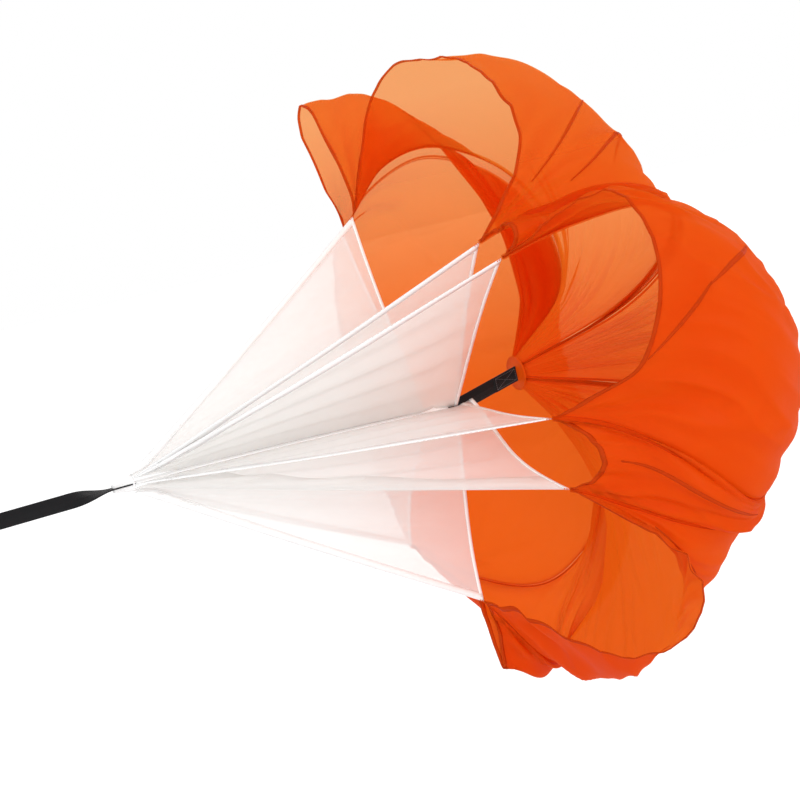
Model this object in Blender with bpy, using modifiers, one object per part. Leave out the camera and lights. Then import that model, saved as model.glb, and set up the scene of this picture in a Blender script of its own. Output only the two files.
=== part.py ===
"""A speed parachute for running drills: a waist belt, a snap hook and tether, and a four lobed chute.

Metres, +Z up. The runner stands on the -X side of the origin and the chute flies toward +X, inflated.
The origin is on the inner face of the belt, at the middle of the runner's back.
Turns are in degrees round the X axis: 0 is up, 90 is the side toward -Y, 180 is down.
"""
import math

import bmesh
import bpy
import numpy as np
from mathutils import Matrix, Vector

# Gaps and cloth
GAP = 0.0003
SEAM_GAP = 0.0018
CLOTH = 0.001
WEBBING = 0.002

# Belt
BELT_WIDTH = 0.038
BELT_THICK = 0.0025
BELT_ACROSS = 0.32
BELT_DEPTH = 0.235
BELT_CORNER = 0.075

# Side release buckle
BUCKLE_LENGTH = 0.042
BUCKLE_HEIGHT = 0.05
BUCKLE_THICK = 0.013
BUCKLE_WALL = 0.0022
BUCKLE_EDGE = 0.0012
WINDOW_LENGTH = 0.017
WINDOW_START = 0.014
PLUG_BASE = 0.02
PRONG_WIDTH = 0.0055
PRONG_LENGTH = 0.028
PRONG_HEAD_LENGTH = 0.0135
PRONG_HEAD_RISE = 0.0062
PRONG_SIDE = 0.0145
PRONG_PIN = 0.0025
TONGUE_HEIGHT = 0.01
TONGUE_LENGTH = 0.024

# Tri-glide slider
GLIDE_LENGTH = 0.024
GLIDE_BAR = 0.0045
GLIDE_RAIL = 0.0045
GLIDE_THICK = 0.0028
GLIDE_STEP = 0.0004
GLIDE_PLACE = 0.058

# D-ring and its tab
RING_WIRE = 0.0044
RING_HEIGHT = 0.042
RING_REACH = 0.026
TAB_WIDTH = 0.03
TAB_TAIL = 0.024
TAB_THICK = 0.0014

# Snap hook and swivel
HOOK_WIRE = 0.0044
HOOK_WIDTH = 0.021
HOOK_LENGTH = 0.048
HOOK_BLOCK_LENGTH = 0.014
HOOK_BLOCK_WIDTH = 0.03
HOOK_BLOCK_HEIGHT = 0.012
GATE_WIRE = 0.0036
GATE_PIN = 0.0024
GATE_LUG = 0.0056
STEM = 0.0048
STEM_HEAD = 0.0082
STEM_HEAD_LENGTH = 0.0022
FLANGE = 0.011
FLANGE_LENGTH = 0.0046
EYE_WIRE = 0.0042
EYE_INSIDE = 0.0275
EYE_LENGTH = 0.018

# Tether and centre strap
TETHER_WIDTH = 0.025
LOOP_STITCHED = 0.036
APEX_X = 0.375
STRAP_TWIST = 90
TETHER_TURN_SHARES = (0.6, 1.0)
STRAP_TURN_SHARES = (0.68, 0.85)

# Apex seam, where the tether, the strap and the fins are sewn together
KEEPER_AHEAD = 0.012
KEEPER_LENGTH = 0.034
KEEPER_FRONT = 0.014
KEEPER_BACK = 0.026

# Chute
FIN_THICK = 0.0008
FIN_INNER = 0.0145
FIN_FOOT = 0.61
FIN_BILLOW = 0.012
RING_SETBACK = 0.585
RING_RADIUS = 0.365
MOUTH_LEAN_SHARE = 0.6
CROWN_SETBACK = 0.735
BACK_SETBACK = 1.0
CROWN_PATCH = 0.03
PATCH_THICK = 0.0012
CROWN_HOLE = 0.022

# The eight corners of the mouth, where a fin and two panels meet: turns, reach as a share of the ring's
# radius, and how far the seam behind each corner swells
CORNER_TURNS = (-42, -29, 46, 54, 96, 114, 181, 219)
CORNER_REACH_SHARES = (1.08, 1.0, 0.97, 1.01, 0.98, 1.03, 0.99, 0.97)
CORNER_SWELL_SHARES = (1.08, 1.05, 0.97, 0.98, 1.2, 1.16, 1.14, 1.02)

# The fin at each corner
FIN_NAMES = ("far_upper", "top_left", "top_right", "near_upper", "near_lower", "bottom_near", "bottom_far",
             "far_lower")

# Where the seam from each corner runs behind the mouth
SEAM_TURNS = (-37, -32, 52, 56, 116, 121, 196, 206)

# Each panel's mouth curve between its two corners, as turns with the reach as a share of the ring's
# radius. The panels are in the order of the corners that they start from
MOUTH_SHARES = {
    "gore_upper_far": ((-41.5, 1.35), (-41, 1.68), (-38.5, 1.82), (-35, 1.76), (-32.5, 1.48), (-30, 1.18)),
    "lobe_top": ((-30, 1.33), (-28, 1.56), (-17, 1.59), (-4, 1.53), (8, 1.5), (20, 1.47), (30, 1.43),
                 (38, 1.34), (43, 1.19)),
    "gore_upper_near": ((48, 1.06), (51, 1.1), (53, 1.07)),
    "lobe_near": ((54.5, 1.25), (56, 1.45), (60, 1.54), (65, 1.56), (70, 1.56), (76, 1.52), (82, 1.45),
                  (88, 1.34), (91.5, 1.18)),
    "gore_lower_near": ((100, 1.1), (105, 1.16), (110, 1.12)),
    "lobe_bottom": ((118, 1.28), (120.5, 1.47), (126, 1.58), (135, 1.59), (144, 1.53), (152, 1.42),
                    (160, 1.25), (169, 1.07)),
    "gore_lower_far": ((182, 1.13), (184, 1.28), (186.5, 1.38), (187, 1.27), (186.5, 1.1), (190, 0.97),
                       (204, 0.93)),
    "lobe_far": ((229, 1.16), (242, 1.28), (258, 1.32), (275, 1.3), (292, 1.25), (308, 1.16)),
}

# Each panel's form as shares: the lean of its mouth, its depth, its swell, its fullness, and where
# across it is fullest
FORM_SHARES = {
    "gore_upper_far": (0.3, 0.6, 1.2, 0.75, 0.5),
    "lobe_top": (1, 0.78, 0.9, 1, 0.48),
    "gore_upper_near": (1, 0.85, 0.9, 0.3, 0.5),
    "lobe_near": (1, 1, 1.02, 1, 0.6),
    "gore_lower_near": (1, 0.8, 1.05, 0.4, 0.5),
    "lobe_bottom": (1, 0.6, 0.92, 1, 0.6),
    "gore_lower_far": (0.35, 0.72, 0.95, 0.8, 0.4),
    "lobe_far": (1, 0.85, 0.82, 0.9, 0.5),
}

# A meridian from behind the mouth to the crown: setback past the ring as a share of the ring's
# distance to the deepest cloth, and reach as a share of the ring's radius
SEAM_SHARES = ((0.26, 1.18), (0.55, 1.24), (0.8, 1.04), (0.88, 0.7), (0.76, 0.34))
LOBE_SHARES = ((0.53, 1.63), (0.8, 1.46), (0.97, 1.08), (1.0, 0.66), (0.82, 0.3))
FULLNESS_POWER = 0.55
EDGE_POWER = 4
TURN_SHARE = 0.4

LOBE_STEPS = (18, 15)
GORE_STEPS = (6, 15)
FIN_STEPS = (9, 5)

ORANGE = (0.86, 0.11, 0.015)
WHITE = (0.86, 0.86, 0.86)
BLACK = (0.012, 0.012, 0.013)
STEEL = (0.55, 0.56, 0.58)

model = bpy.data.collections.new("speed_parachute")
cutters = bpy.data.collections.new("cutters")


def clear_scene():
    for thing in list(bpy.data.objects):
        bpy.data.objects.remove(thing, do_unlink=True)
    for group in (model, cutters):
        bpy.context.scene.collection.children.link(group)


def material(name, colour, roughness, metallic=0.0):
    made = bpy.data.materials.new(name)
    made.use_nodes = True
    shader = made.node_tree.nodes["Principled BSDF"]
    shader.inputs["Base Color"].default_value = (*colour, 1)
    shader.inputs["Roughness"].default_value = roughness
    shader.inputs["Metallic"].default_value = metallic
    return made


def materials():
    return {
        "orange": material("orange_nylon", ORANGE, 0.6),
        "white": material("white_nylon", WHITE, 0.6),
        "webbing": material("black_webbing", BLACK, 0.8),
        "plastic": material("black_plastic", BLACK, 0.4),
        "steel": material("plated_steel", STEEL, 0.3, 1.0),
    }


def place(name, data, paint, parent=None):
    thing = bpy.data.objects.new(name, data)
    model.objects.link(thing)
    if paint:
        data.materials.append(paint)
    if parent:
        thing.parent = parent
        thing.matrix_parent_inverse = parent.matrix_world.inverted()
    return thing


def pivot(name, at):
    empty = bpy.data.objects.new(name, None)
    model.objects.link(empty)
    empty.location = at
    empty.matrix_world = Matrix.Translation(at)
    return empty


def smooth(thing, angle=35):
    thing.data.shade_smooth()
    thing.data.set_sharp_from_angle(angle=math.radians(angle))


def thicken(thing, thickness, offset=0.0):
    shell = thing.modifiers.new("thickness", "SOLIDIFY")
    shell.thickness = thickness
    shell.offset = offset
    return shell


def round_edges(thing, width, segments=2):
    bevel = thing.modifiers.new("edges", "BEVEL")
    bevel.width = width
    bevel.segments = segments
    bevel.limit_method = "ANGLE"
    return bevel


def box(name, low, high, paint, parent=None):
    """A box between two corners, with its origin in its middle."""
    low = Vector(low)
    high = Vector(high)
    mesh = bpy.data.meshes.new(name)
    shape = bmesh.new()
    bmesh.ops.create_cube(shape, size=1)
    bmesh.ops.scale(shape, vec=high - low, verts=shape.verts)
    bmesh.ops.translate(shape, vec=(low + high) / 2, verts=shape.verts)
    shape.to_mesh(mesh)
    shape.free()
    return place(name, mesh, paint, parent)


def rod(name, start, end, diameter, paint, parent=None, sides=20):
    """A round bar between two points."""
    start = Vector(start)
    along = Vector(end) - start
    mesh = bpy.data.meshes.new(name)
    shape = bmesh.new()
    bmesh.ops.create_cone(shape, cap_ends=True, segments=sides, radius1=diameter / 2, radius2=diameter / 2,
                          depth=along.length)
    turn = along.to_track_quat("Z", "Y").to_matrix().to_4x4()
    bmesh.ops.transform(shape, matrix=Matrix.Translation(start + along / 2) @ turn, verts=shape.verts)
    shape.to_mesh(mesh)
    shape.free()
    made = place(name, mesh, paint, parent)
    smooth(made)
    return made


def combine(thing, other, how):
    """A Boolean with a helper object, which moves to the cutters."""
    step = thing.modifiers.new(other.name, "BOOLEAN")
    step.object = other
    step.operation = how
    step.solver = "EXACT"
    other.hide_render = True
    other.display_type = "WIRE"
    for group in list(other.users_collection):
        group.objects.unlink(other)
    cutters.objects.link(other)
    return step


def bent_wire(name, points, diameter, paint, parent=None, cyclic=False, resolution=3):
    """A round wire along points, as a mesh with welded caps."""
    curve = bpy.data.curves.new(name, "CURVE")
    curve.dimensions = "3D"
    curve.bevel_depth = diameter / 2
    curve.bevel_resolution = resolution
    curve.use_fill_caps = True
    run = curve.splines.new("POLY")
    run.points.add(len(points) - 1)
    for point, spot in zip(run.points, points):
        point.co = (*spot, 1)
    run.use_cyclic_u = cyclic
    guide = bpy.data.objects.new(name + "_guide", curve)
    bpy.context.scene.collection.objects.link(guide)
    view = bpy.context.evaluated_depsgraph_get()
    mesh = bpy.data.meshes.new_from_object(guide.evaluated_get(view))
    bpy.data.objects.remove(guide, do_unlink=True)
    shape = bmesh.new()
    shape.from_mesh(mesh)
    bmesh.ops.remove_doubles(shape, verts=shape.verts, dist=diameter / 1000)
    bmesh.ops.recalc_face_normals(shape, faces=shape.faces)
    shape.to_mesh(mesh)
    shape.free()
    mesh.materials.clear()
    made = place(name, mesh, paint, parent)
    smooth(made, 50)
    return made


def arc(centre, radius, start, end, steps):
    """Points of an arc in the XY plane, turns in degrees from +X."""
    spots = []
    for k in range(steps + 1):
        turn = math.radians(start + (end - start) * k / steps)
        spots.append((centre[0] + radius * math.cos(turn), centre[1] + radius * math.sin(turn)))
    return spots


def band(name, outline, width, thickness, paint, parent=None, offset=1.0):
    """Webbing on edge: it follows an outline in the XY plane, and its width is along Z."""
    curve = bpy.data.curves.new(name, "CURVE")
    curve.dimensions = "2D"
    curve.fill_mode = "NONE"
    curve.extrude = width / 2
    run = curve.splines.new("POLY")
    run.points.add(len(outline) - 1)
    for point, (x, y) in zip(run.points, outline):
        point.co = (x, y, 0, 1)
    made = place(name, curve, paint, parent)
    thicken(made, thickness, offset)
    return made


def sheet(name, steps, surface, paint, parent, thickness):
    """A cloth: a grid whose corners go where surface(across, along) says, both from 0 to 1."""
    across_steps, along_steps = steps
    mesh = bpy.data.meshes.new(name)
    shape = bmesh.new()
    bmesh.ops.create_grid(shape, x_segments=across_steps, y_segments=along_steps, size=0.5)
    for corner in shape.verts:
        corner.co = surface(corner.co.x + 0.5, corner.co.y + 0.5)
    shape.to_mesh(mesh)
    shape.free()
    made = place(name, mesh, paint, parent)
    thicken(made, thickness)
    smooth(made, 60)
    return made


# Belt, which the runner wears

FRONT_X = -BELT_DEPTH
BUCKLE_MIDDLE_X = FRONT_X - BELT_THICK / 2
SHELL_LOW = -PLUG_BASE - BUCKLE_LENGTH / 2
SHELL_HIGH = SHELL_LOW + BUCKLE_LENGTH
WEB_END = SHELL_LOW + BELT_THICK
PLUG_FOOT = SHELL_HIGH + PLUG_BASE
PRONG_ROOT = SHELL_HIGH + PRONG_PIN


def belt_outline():
    """The inner face of the belt, from the buckle's fixed half round the back to its other half."""
    straight = BELT_ACROSS / 2 - BELT_CORNER
    middle_front = FRONT_X + BELT_CORNER
    spots = [(FRONT_X, WEB_END)]
    spots += arc((middle_front, -straight), BELT_CORNER, 180, 270, 10)
    spots += arc((-BELT_CORNER, -straight), BELT_CORNER, 270, 360, 10)
    spots += arc((-BELT_CORNER, straight), BELT_CORNER, 0, 90, 10)
    spots += arc((middle_front, straight), BELT_CORNER, 90, 180, 10)
    spots += [(FRONT_X, PLUG_FOOT + GAP)]
    return spots


def belt(paints):
    band("belt_webbing", belt_outline(), BELT_WIDTH, BELT_THICK, paints["webbing"], offset=-1.0)


def buckle(paints):
    half_thick = BUCKLE_THICK / 2
    half_height = BUCKLE_HEIGHT / 2
    middle = BUCKLE_MIDDLE_X
    shell = box("buckle_socket", (middle - half_thick, SHELL_LOW, -half_height),
                (middle + half_thick, SHELL_HIGH, half_height), paints["plastic"])
    back = middle - half_thick + BUCKLE_WALL
    front = middle + half_thick - BUCKLE_WALL
    roof = half_height - BUCKLE_WALL
    cavity = box("socket_cavity", (back, WEB_END + 2 * BUCKLE_WALL, -roof),
                 (front, SHELL_HIGH + BUCKLE_WALL, roof), None)
    window_low = SHELL_LOW + WINDOW_START
    windows = box("socket_windows", (back, window_low, -BUCKLE_HEIGHT),
                  (front, window_low + WINDOW_LENGTH, BUCKLE_HEIGHT), None)
    slot_thick = BELT_THICK / 2 + GAP
    slot_height = BELT_WIDTH / 2 + GAP
    slot = box("socket_web_slot", (middle - slot_thick, SHELL_LOW - BUCKLE_WALL, -slot_height),
               (middle + slot_thick, WEB_END + GAP, slot_height), None)
    round_edges(shell, BUCKLE_EDGE)
    combine(shell, cavity, "DIFFERENCE")
    combine(shell, windows, "DIFFERENCE")
    combine(shell, slot, "DIFFERENCE")

    base_low = SHELL_HIGH + 2 * GAP
    inner = half_thick - BUCKLE_WALL - GAP
    base = box("buckle_plug", (middle - half_thick, base_low + PRONG_PIN, -half_height),
               (middle + half_thick, PLUG_FOOT, half_height), paints["plastic"])
    round_edges(base, BUCKLE_EDGE)
    tongue = box("plug_tongue", (middle - inner, base_low - TONGUE_LENGTH, -TONGUE_HEIGHT / 2),
                 (middle + inner, base_low + 2 * PRONG_PIN, TONGUE_HEIGHT / 2), None)
    combine(base, tongue, "UNION")
    for side, name in ((1, "prong_upper"), (-1, "prong_lower")):
        hinge = pivot(name + "_hinge", (middle, PRONG_ROOT + GAP, side * PRONG_SIDE))
        arm_low = side * (PRONG_SIDE - PRONG_WIDTH / 2)
        arm_high = side * (PRONG_SIDE + PRONG_WIDTH / 2)
        tip = PRONG_ROOT - PRONG_LENGTH
        arm = box(name, (middle - inner, tip, min(arm_low, arm_high)),
                  (middle + inner, PRONG_ROOT + GAP, max(arm_low, arm_high)), paints["plastic"], hinge)
        head_low = side * (PRONG_SIDE - PRONG_WIDTH / 4)
        head_high = side * (PRONG_SIDE + PRONG_WIDTH / 2 + PRONG_HEAD_RISE)
        head = box(name + "_head", (middle - inner, tip - GAP, min(head_low, head_high)),
                   (middle + inner, tip + PRONG_HEAD_LENGTH, max(head_low, head_high)), None)
        combine(arm, head, "UNION")
        round_edges(arm, BUCKLE_EDGE / 2)


def slider(paints):
    """Three upright bars between two rails, a step back from the rails' faces.

    The belt runs before the outer bars and behind the middle one.
    """
    inner_face = FRONT_X + GAP
    outer_face = FRONT_X - BELT_THICK - GAP
    rail = BELT_WIDTH / 2 + GAP
    low = GLIDE_PLACE - GLIDE_LENGTH / 2
    high = GLIDE_PLACE + GLIDE_LENGTH / 2
    frame = box("slider", (outer_face - GLIDE_THICK, low, rail),
                (inner_face + GLIDE_THICK, high, rail + GLIDE_RAIL), paints["plastic"])
    bottom = box("slider_bottom_rail", (outer_face - GLIDE_THICK, low, -rail - GLIDE_RAIL),
                 (inner_face + GLIDE_THICK, high, -rail), None)
    combine(frame, bottom, "UNION")
    reach = rail + GLIDE_RAIL / 2
    bar_thick = GLIDE_THICK - GLIDE_STEP
    for name, face, bar_low in (("first", inner_face, low + GLIDE_STEP),
                                ("last", inner_face, high - GLIDE_BAR - GLIDE_STEP),
                                ("middle", outer_face - bar_thick, GLIDE_PLACE - GLIDE_BAR / 2)):
        bar = box("slider_bar_" + name, (face, bar_low, -reach),
                  (face + bar_thick, bar_low + GLIDE_BAR, reach), None)
        combine(frame, bar, "UNION")
    round_edges(frame, BUCKLE_EDGE / 2)


TAB_BAR_X = BELT_THICK + 2 * GAP + TAB_THICK + RING_WIRE / 2 + GAP
BOW_X = TAB_BAR_X + RING_REACH


def ring_and_tab(paints):
    """The tab is webbing folded round the ring's straight bar, with its two tails sewn flat on the belt."""
    wrap = RING_WIRE / 2 + GAP + TAB_THICK / 2
    face = BELT_THICK + GAP + TAB_THICK / 2
    fold = arc((TAB_BAR_X, 0), wrap, -90, 90, 10)
    outline = [(face, -TAB_TAIL), (face, -wrap - TAB_THICK)]
    outline += fold
    outline += [(face, wrap + TAB_THICK), (face, TAB_TAIL)]
    band("ring_tab", outline, TAB_WIDTH, TAB_THICK, paints["webbing"], offset=0.0)
    half = RING_HEIGHT / 2
    bar_end = half - RING_WIRE / 2
    spots = [(TAB_BAR_X, 0, bar_end), (TAB_BAR_X, 0, 0), (TAB_BAR_X, 0, -bar_end)]
    bow_start = TAB_BAR_X + RING_WIRE
    for k in range(15):
        turn = math.radians(-90 + 180 * k / 14)
        spots.append((bow_start + (BOW_X - bow_start) * math.cos(turn), 0, half * math.sin(turn)))
    bent_wire("d_ring", spots, RING_WIRE, paints["steel"], cyclic=True)


# Snap hook, swivel and tether

HOOK_BACK = BOW_X + HOOK_LENGTH
BLOCK_FRONT = HOOK_BACK - HOOK_BLOCK_LENGTH
SIDE_Y = HOOK_WIDTH / 2 - HOOK_WIRE / 2
GATE_PIN_X = BLOCK_FRONT + HOOK_BLOCK_LENGTH / 3
NOSE_X = BOW_X - RING_WIRE / 2 - GAP - HOOK_WIRE / 2
EYE_BAR_X = HOOK_BACK + GAP + FLANGE_LENGTH + EYE_LENGTH


def hook(paints):
    swing = pivot("hook_hinge", (BOW_X, 0, 0))
    nose = arc((NOSE_X + SIDE_Y, 0), SIDE_Y, 90, 270, 12)
    tip_x = nose[-1][0] + HOOK_WIRE
    spots = [(BLOCK_FRONT + HOOK_BLOCK_LENGTH / 2, SIDE_Y, 0)]
    spots += [(x, y, 0) for x, y in nose]
    spots += [(tip_x, -SIDE_Y, 0)]
    body = bent_wire("snap_hook", spots, HOOK_WIRE, paints["steel"], swing)
    half_width = HOOK_BLOCK_WIDTH / 2
    half_height = HOOK_BLOCK_HEIGHT / 2
    block = box("hook_block", (BLOCK_FRONT, -half_width, -half_height),
                (HOOK_BACK, half_width, half_height), None)
    round_edges(block, HOOK_WIRE / 4)
    combine(body, block, "UNION")
    bore = rod("stem_bore", (BLOCK_FRONT - HOOK_WIRE, 0, 0), (HOOK_BACK + HOOK_WIRE, 0, 0),
               STEM + 2 * GAP, None)
    combine(body, bore, "DIFFERENCE")
    notch_half = GATE_WIRE / 2 + GAP
    notch = box("gate_notch", (BLOCK_FRONT - HOOK_WIRE, -half_width - HOOK_WIRE, -notch_half),
                (BLOCK_FRONT + 2 * HOOK_BLOCK_LENGTH / 3 + GAP, -STEM, notch_half), None)
    combine(body, notch, "DIFFERENCE")
    pin_bore = rod("gate_pin_bore", (GATE_PIN_X, -SIDE_Y, -HOOK_BLOCK_HEIGHT),
                   (GATE_PIN_X, -SIDE_Y, HOOK_BLOCK_HEIGHT), GATE_PIN + 2 * GAP, None)
    combine(body, pin_bore, "DIFFERENCE")
    rod("gate_pin", (GATE_PIN_X, -SIDE_Y, -half_height), (GATE_PIN_X, -SIDE_Y, half_height), GATE_PIN,
        paints["steel"], swing)

    gate_hinge = pivot("gate_hinge", (GATE_PIN_X, -SIDE_Y, 0))
    gate = rod("hook_gate", (tip_x + GAP, -SIDE_Y, 0), (GATE_PIN_X, -SIDE_Y, 0), GATE_WIRE,
               paints["steel"], gate_hinge)
    lug_half = GATE_WIRE / 2 - GAP
    lug = rod("gate_lug", (GATE_PIN_X, -SIDE_Y, -lug_half), (GATE_PIN_X, -SIDE_Y, lug_half), GATE_LUG, None)
    combine(gate, lug, "UNION")
    gate_bore = rod("gate_bore", (GATE_PIN_X, -SIDE_Y, -HOOK_WIRE), (GATE_PIN_X, -SIDE_Y, HOOK_WIRE),
                    GATE_PIN + 2 * GAP, None)
    combine(gate, gate_bore, "DIFFERENCE")


def swivel(paints):
    """A stem with a peened head inside the hook, a flange behind it and an upright loop for the tether."""
    turn = pivot("swivel_hinge", (HOOK_BACK, 0, 0))
    flange_x = HOOK_BACK + GAP
    loop_x = flange_x + FLANGE_LENGTH - EYE_WIRE / 2
    half = EYE_INSIDE / 2 + EYE_WIRE / 2
    corner = EYE_WIRE
    spots = []
    for x, z, start in ((EYE_BAR_X - corner, half - corner, 90), (EYE_BAR_X - corner, -half + corner, 0),
                        (loop_x + corner, -half + corner, -90), (loop_x + corner, half - corner, 180)):
        for px, pz in reversed(arc((x, z), corner, start - 90, start, 4)):
            spots.append((px, 0, pz))
    eye = bent_wire("swivel_eye", spots, EYE_WIRE, paints["steel"], turn, cyclic=True)
    head_x = BLOCK_FRONT - GAP
    stem = rod("eye_stem", (head_x - STEM_HEAD_LENGTH / 2, 0, 0), (loop_x + EYE_WIRE / 2, 0, 0), STEM, None)
    head = rod("eye_head", (head_x - STEM_HEAD_LENGTH, 0, 0), (head_x, 0, 0), STEM_HEAD, None)
    flange = rod("eye_flange", (flange_x, 0, 0), (flange_x + FLANGE_LENGTH, 0, 0), FLANGE, None)
    for piece in (stem, head, flange):
        combine(eye, piece, "UNION")
    return turn


LOOP_WRAP = EYE_WIRE / 2 + GAP + WEBBING / 2
LOOP_END = EYE_BAR_X + LOOP_STITCHED
TETHER_START = LOOP_END + GAP
TETHER_END = APEX_X - KEEPER_AHEAD - GAP
KEEPER_END = APEX_X - KEEPER_AHEAD + KEEPER_LENGTH


def tether(paints, parent):
    """The tether's end is folded round the swivel's bar and stitched to itself. The rest runs to the apex."""
    fold = arc((EYE_BAR_X, 0), LOOP_WRAP, 70, 290, 12)
    lie = (WEBBING + GAP) / 2
    close = EYE_BAR_X + 3 * LOOP_WRAP
    outline = [(LOOP_END, lie), (close, lie)] + fold + [(close, -lie), (LOOP_END, -lie)]
    band("tether_loop", outline, TETHER_WIDTH, WEBBING, paints["webbing"], parent, offset=0.0)
    ribbon("tether", TETHER_START, TETHER_END, 12, tether_turn, paints["webbing"], parent)


def tether_turn(share):
    """The tether is upright at the hook and turns edge on over its last third, at the apex."""
    start, end = TETHER_TURN_SHARES
    return STRAP_TWIST * eased((share - start) / (end - start))


def strap_turn(share):
    """The centre strap lies edge on among the fins and shows its face beyond them."""
    start, end = STRAP_TURN_SHARES
    return STRAP_TWIST * (1 - eased((share - start) / (end - start)))


def ribbon(name, start, end, steps, turn, paint, parent):
    """Flat webbing along X that turns about its own length, as turn(share) says."""

    def surface(across, along):
        angle = math.radians(turn(along))
        side = (across - 0.5) * TETHER_WIDTH
        return Vector((start + along * (end - start), side * math.sin(angle), side * math.cos(angle)))

    return sheet(name, (1, steps), surface, paint, parent, WEBBING)


# Chute

def round_axis(setback, reach, turn):
    """A point by its distance behind the apex, its distance from the axis and its turn in degrees."""
    angle = math.radians(turn)
    return Vector((APEX_X + setback, -reach * math.sin(angle), reach * math.cos(angle)))


def through(points, share):
    """A smooth curve through the points, at a share of the way along it."""
    knots = np.array(points, float)
    at = share * (len(knots) - 1)
    k = min(int(at), len(knots) - 2)
    t = at - k
    before = knots[k - 1] if k else 2 * knots[0] - knots[1]
    after = knots[k + 2] if k + 2 < len(knots) else 2 * knots[-1] - knots[-2]
    a, b = knots[k], knots[k + 1]
    return 0.5 * (2 * a + (b - before) * t + (2 * before - 5 * a + 4 * b - after) * t * t
                  + (3 * a - before - 3 * b + after) * t * t * t)


def corner_reach(k):
    return RING_RADIUS * CORNER_REACH_SHARES[k]


def mouth_setback(reach, lean):
    return RING_SETBACK + lean * MOUTH_LEAN_SHARE * (reach - RING_RADIUS)


def from_shares(pair):
    depth, reach = pair
    return np.array((RING_SETBACK + depth * (BACK_SETBACK - RING_SETBACK), reach * RING_RADIUS))


def meridian(mouth, seam_swell, fullness, depth_share, swell_share, along):
    """Setback and reach on the way from the mouth over the back of the cloth to the crown."""
    knots = [np.array(mouth)]
    for (seam_depth, seam_reach), (depth, reach) in zip(SEAM_SHARES, LOBE_SHARES):
        seam = from_shares((seam_depth, seam_reach * seam_swell))
        lobe = from_shares((depth * depth_share, reach * swell_share))
        knots.append(seam * (1 - fullness) + lobe * fullness)
    knots.append(np.array((CROWN_SETBACK + PATCH_THICK / 2 + CLOTH / 2 + 2 * GAP, CROWN_HOLE)))
    return through(knots, along)


def inset(reach, across):
    """The turn that keeps half a seam's gap free at a cloth's two sides."""
    return math.degrees(SEAM_GAP / 2 / reach) * (1 - 2 * across)


def eased(share):
    share = min(1, max(0, share))
    return share * share * (3 - 2 * share)


def panel_surface(name):
    """A panel of the canopy: across it from corner to corner, and along it from the mouth to the crown."""
    lean, depth_share, swell_share, most, fullest = FORM_SHARES[name]
    first = list(MOUTH_SHARES).index(name)
    last = (first + 1) % len(CORNER_TURNS)
    whole = 360 if last == 0 else 0
    mouth_points = [(CORNER_TURNS[first], corner_reach(first))]
    mouth_points += [(turn, share * RING_RADIUS) for turn, share in MOUTH_SHARES[name]]
    mouth_points += [(CORNER_TURNS[last] + whole, corner_reach(last))]
    swell_first, swell_last = CORNER_SWELL_SHARES[first], CORNER_SWELL_SHARES[last]
    seam_first, seam_last = SEAM_TURNS[first], SEAM_TURNS[last] + whole

    def surface(across, along):
        turn, reach = through(mouth_points, across)
        skewed = across ** (math.log(0.5) / math.log(fullest))
        fullness = most * math.sin(math.pi * skewed) ** FULLNESS_POWER if 0 < across < 1 else 0
        edge = abs(2 * across - 1) ** EDGE_POWER
        mouth = (mouth_setback(reach, lean + (1 - lean) * edge), reach)
        seam_swell = swell_first + (swell_last - swell_first) * across
        setback, out = meridian(mouth, seam_swell, fullness, depth_share, swell_share, along)
        body_turn = seam_first + (seam_last - seam_first) * across
        turn = turn + (body_turn - turn) * eased(along / TURN_SHARE)
        return round_axis(setback, out, turn + inset(out, across))

    return surface


def fin_surface(k):
    """A flat triangle from the apex to a corner of the mouth and to the centre strap, slightly filled."""
    reach = corner_reach(k)
    outer = (mouth_setback(reach, 1) - CLOTH / 2 - GAP, reach)
    side = 1 if k % 2 else -1
    start = KEEPER_END - APEX_X + GAP

    def surface(across, along):
        foot = FIN_INNER + (outer[1] - FIN_INNER) * across
        setback = FIN_FOOT + (outer[0] - FIN_FOOT) * across
        inner_setback = start + (FIN_FOOT - start) * along
        edge_setback = start + (outer[0] - start) * along
        edge_reach = FIN_INNER + CLOTH + (outer[1] - FIN_INNER - CLOTH) * along
        inner = np.array((inner_setback, FIN_INNER))
        edge = np.array((edge_setback, edge_reach))
        spot = inner + (edge - inner) * across
        hem = along ** EDGE_POWER
        spot = spot * (1 - hem) + np.array((setback, foot)) * hem
        bulge = side * FIN_BILLOW * math.sin(math.pi * across) * math.sin(math.pi * along) * along
        turn = CORNER_TURNS[k] + math.degrees(bulge / max(spot[1], FIN_INNER))
        return round_axis(spot[0], spot[1], turn)

    return surface


def chute(paints, parent):
    for k, name in enumerate(FIN_NAMES):
        sheet("fin_" + name, FIN_STEPS, fin_surface(k), paints["white"], parent, FIN_THICK)
    for name in MOUTH_SHARES:
        steps = LOBE_STEPS if name.startswith("lobe") else GORE_STEPS
        sheet(name, steps, panel_surface(name), paints["orange"], parent, CLOTH)

    crown_x = APEX_X + CROWN_SETBACK
    rod("crown_patch", (crown_x - PATCH_THICK / 2, 0, 0), (crown_x + PATCH_THICK / 2, 0, 0), 2 * CROWN_PATCH,
        paints["orange"], parent, sides=32)
    keeper = bpy.data.meshes.new("apex_seam")
    shape = bmesh.new()
    bmesh.ops.create_cone(shape, cap_ends=True, segments=20, radius1=KEEPER_FRONT / 2,
                          radius2=KEEPER_BACK / 2, depth=KEEPER_LENGTH)
    bmesh.ops.rotate(shape, matrix=Matrix.Rotation(math.radians(90), 3, "Y"), verts=shape.verts)
    bmesh.ops.translate(shape, vec=(APEX_X - KEEPER_AHEAD + KEEPER_LENGTH / 2, 0, 0), verts=shape.verts)
    shape.to_mesh(keeper)
    shape.free()
    smooth(place("apex_seam", keeper, paints["white"], parent))
    ribbon("centre_strap", KEEPER_END + GAP, crown_x - PATCH_THICK / 2 - GAP, 34, strap_turn,
           paints["webbing"], parent)


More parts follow.
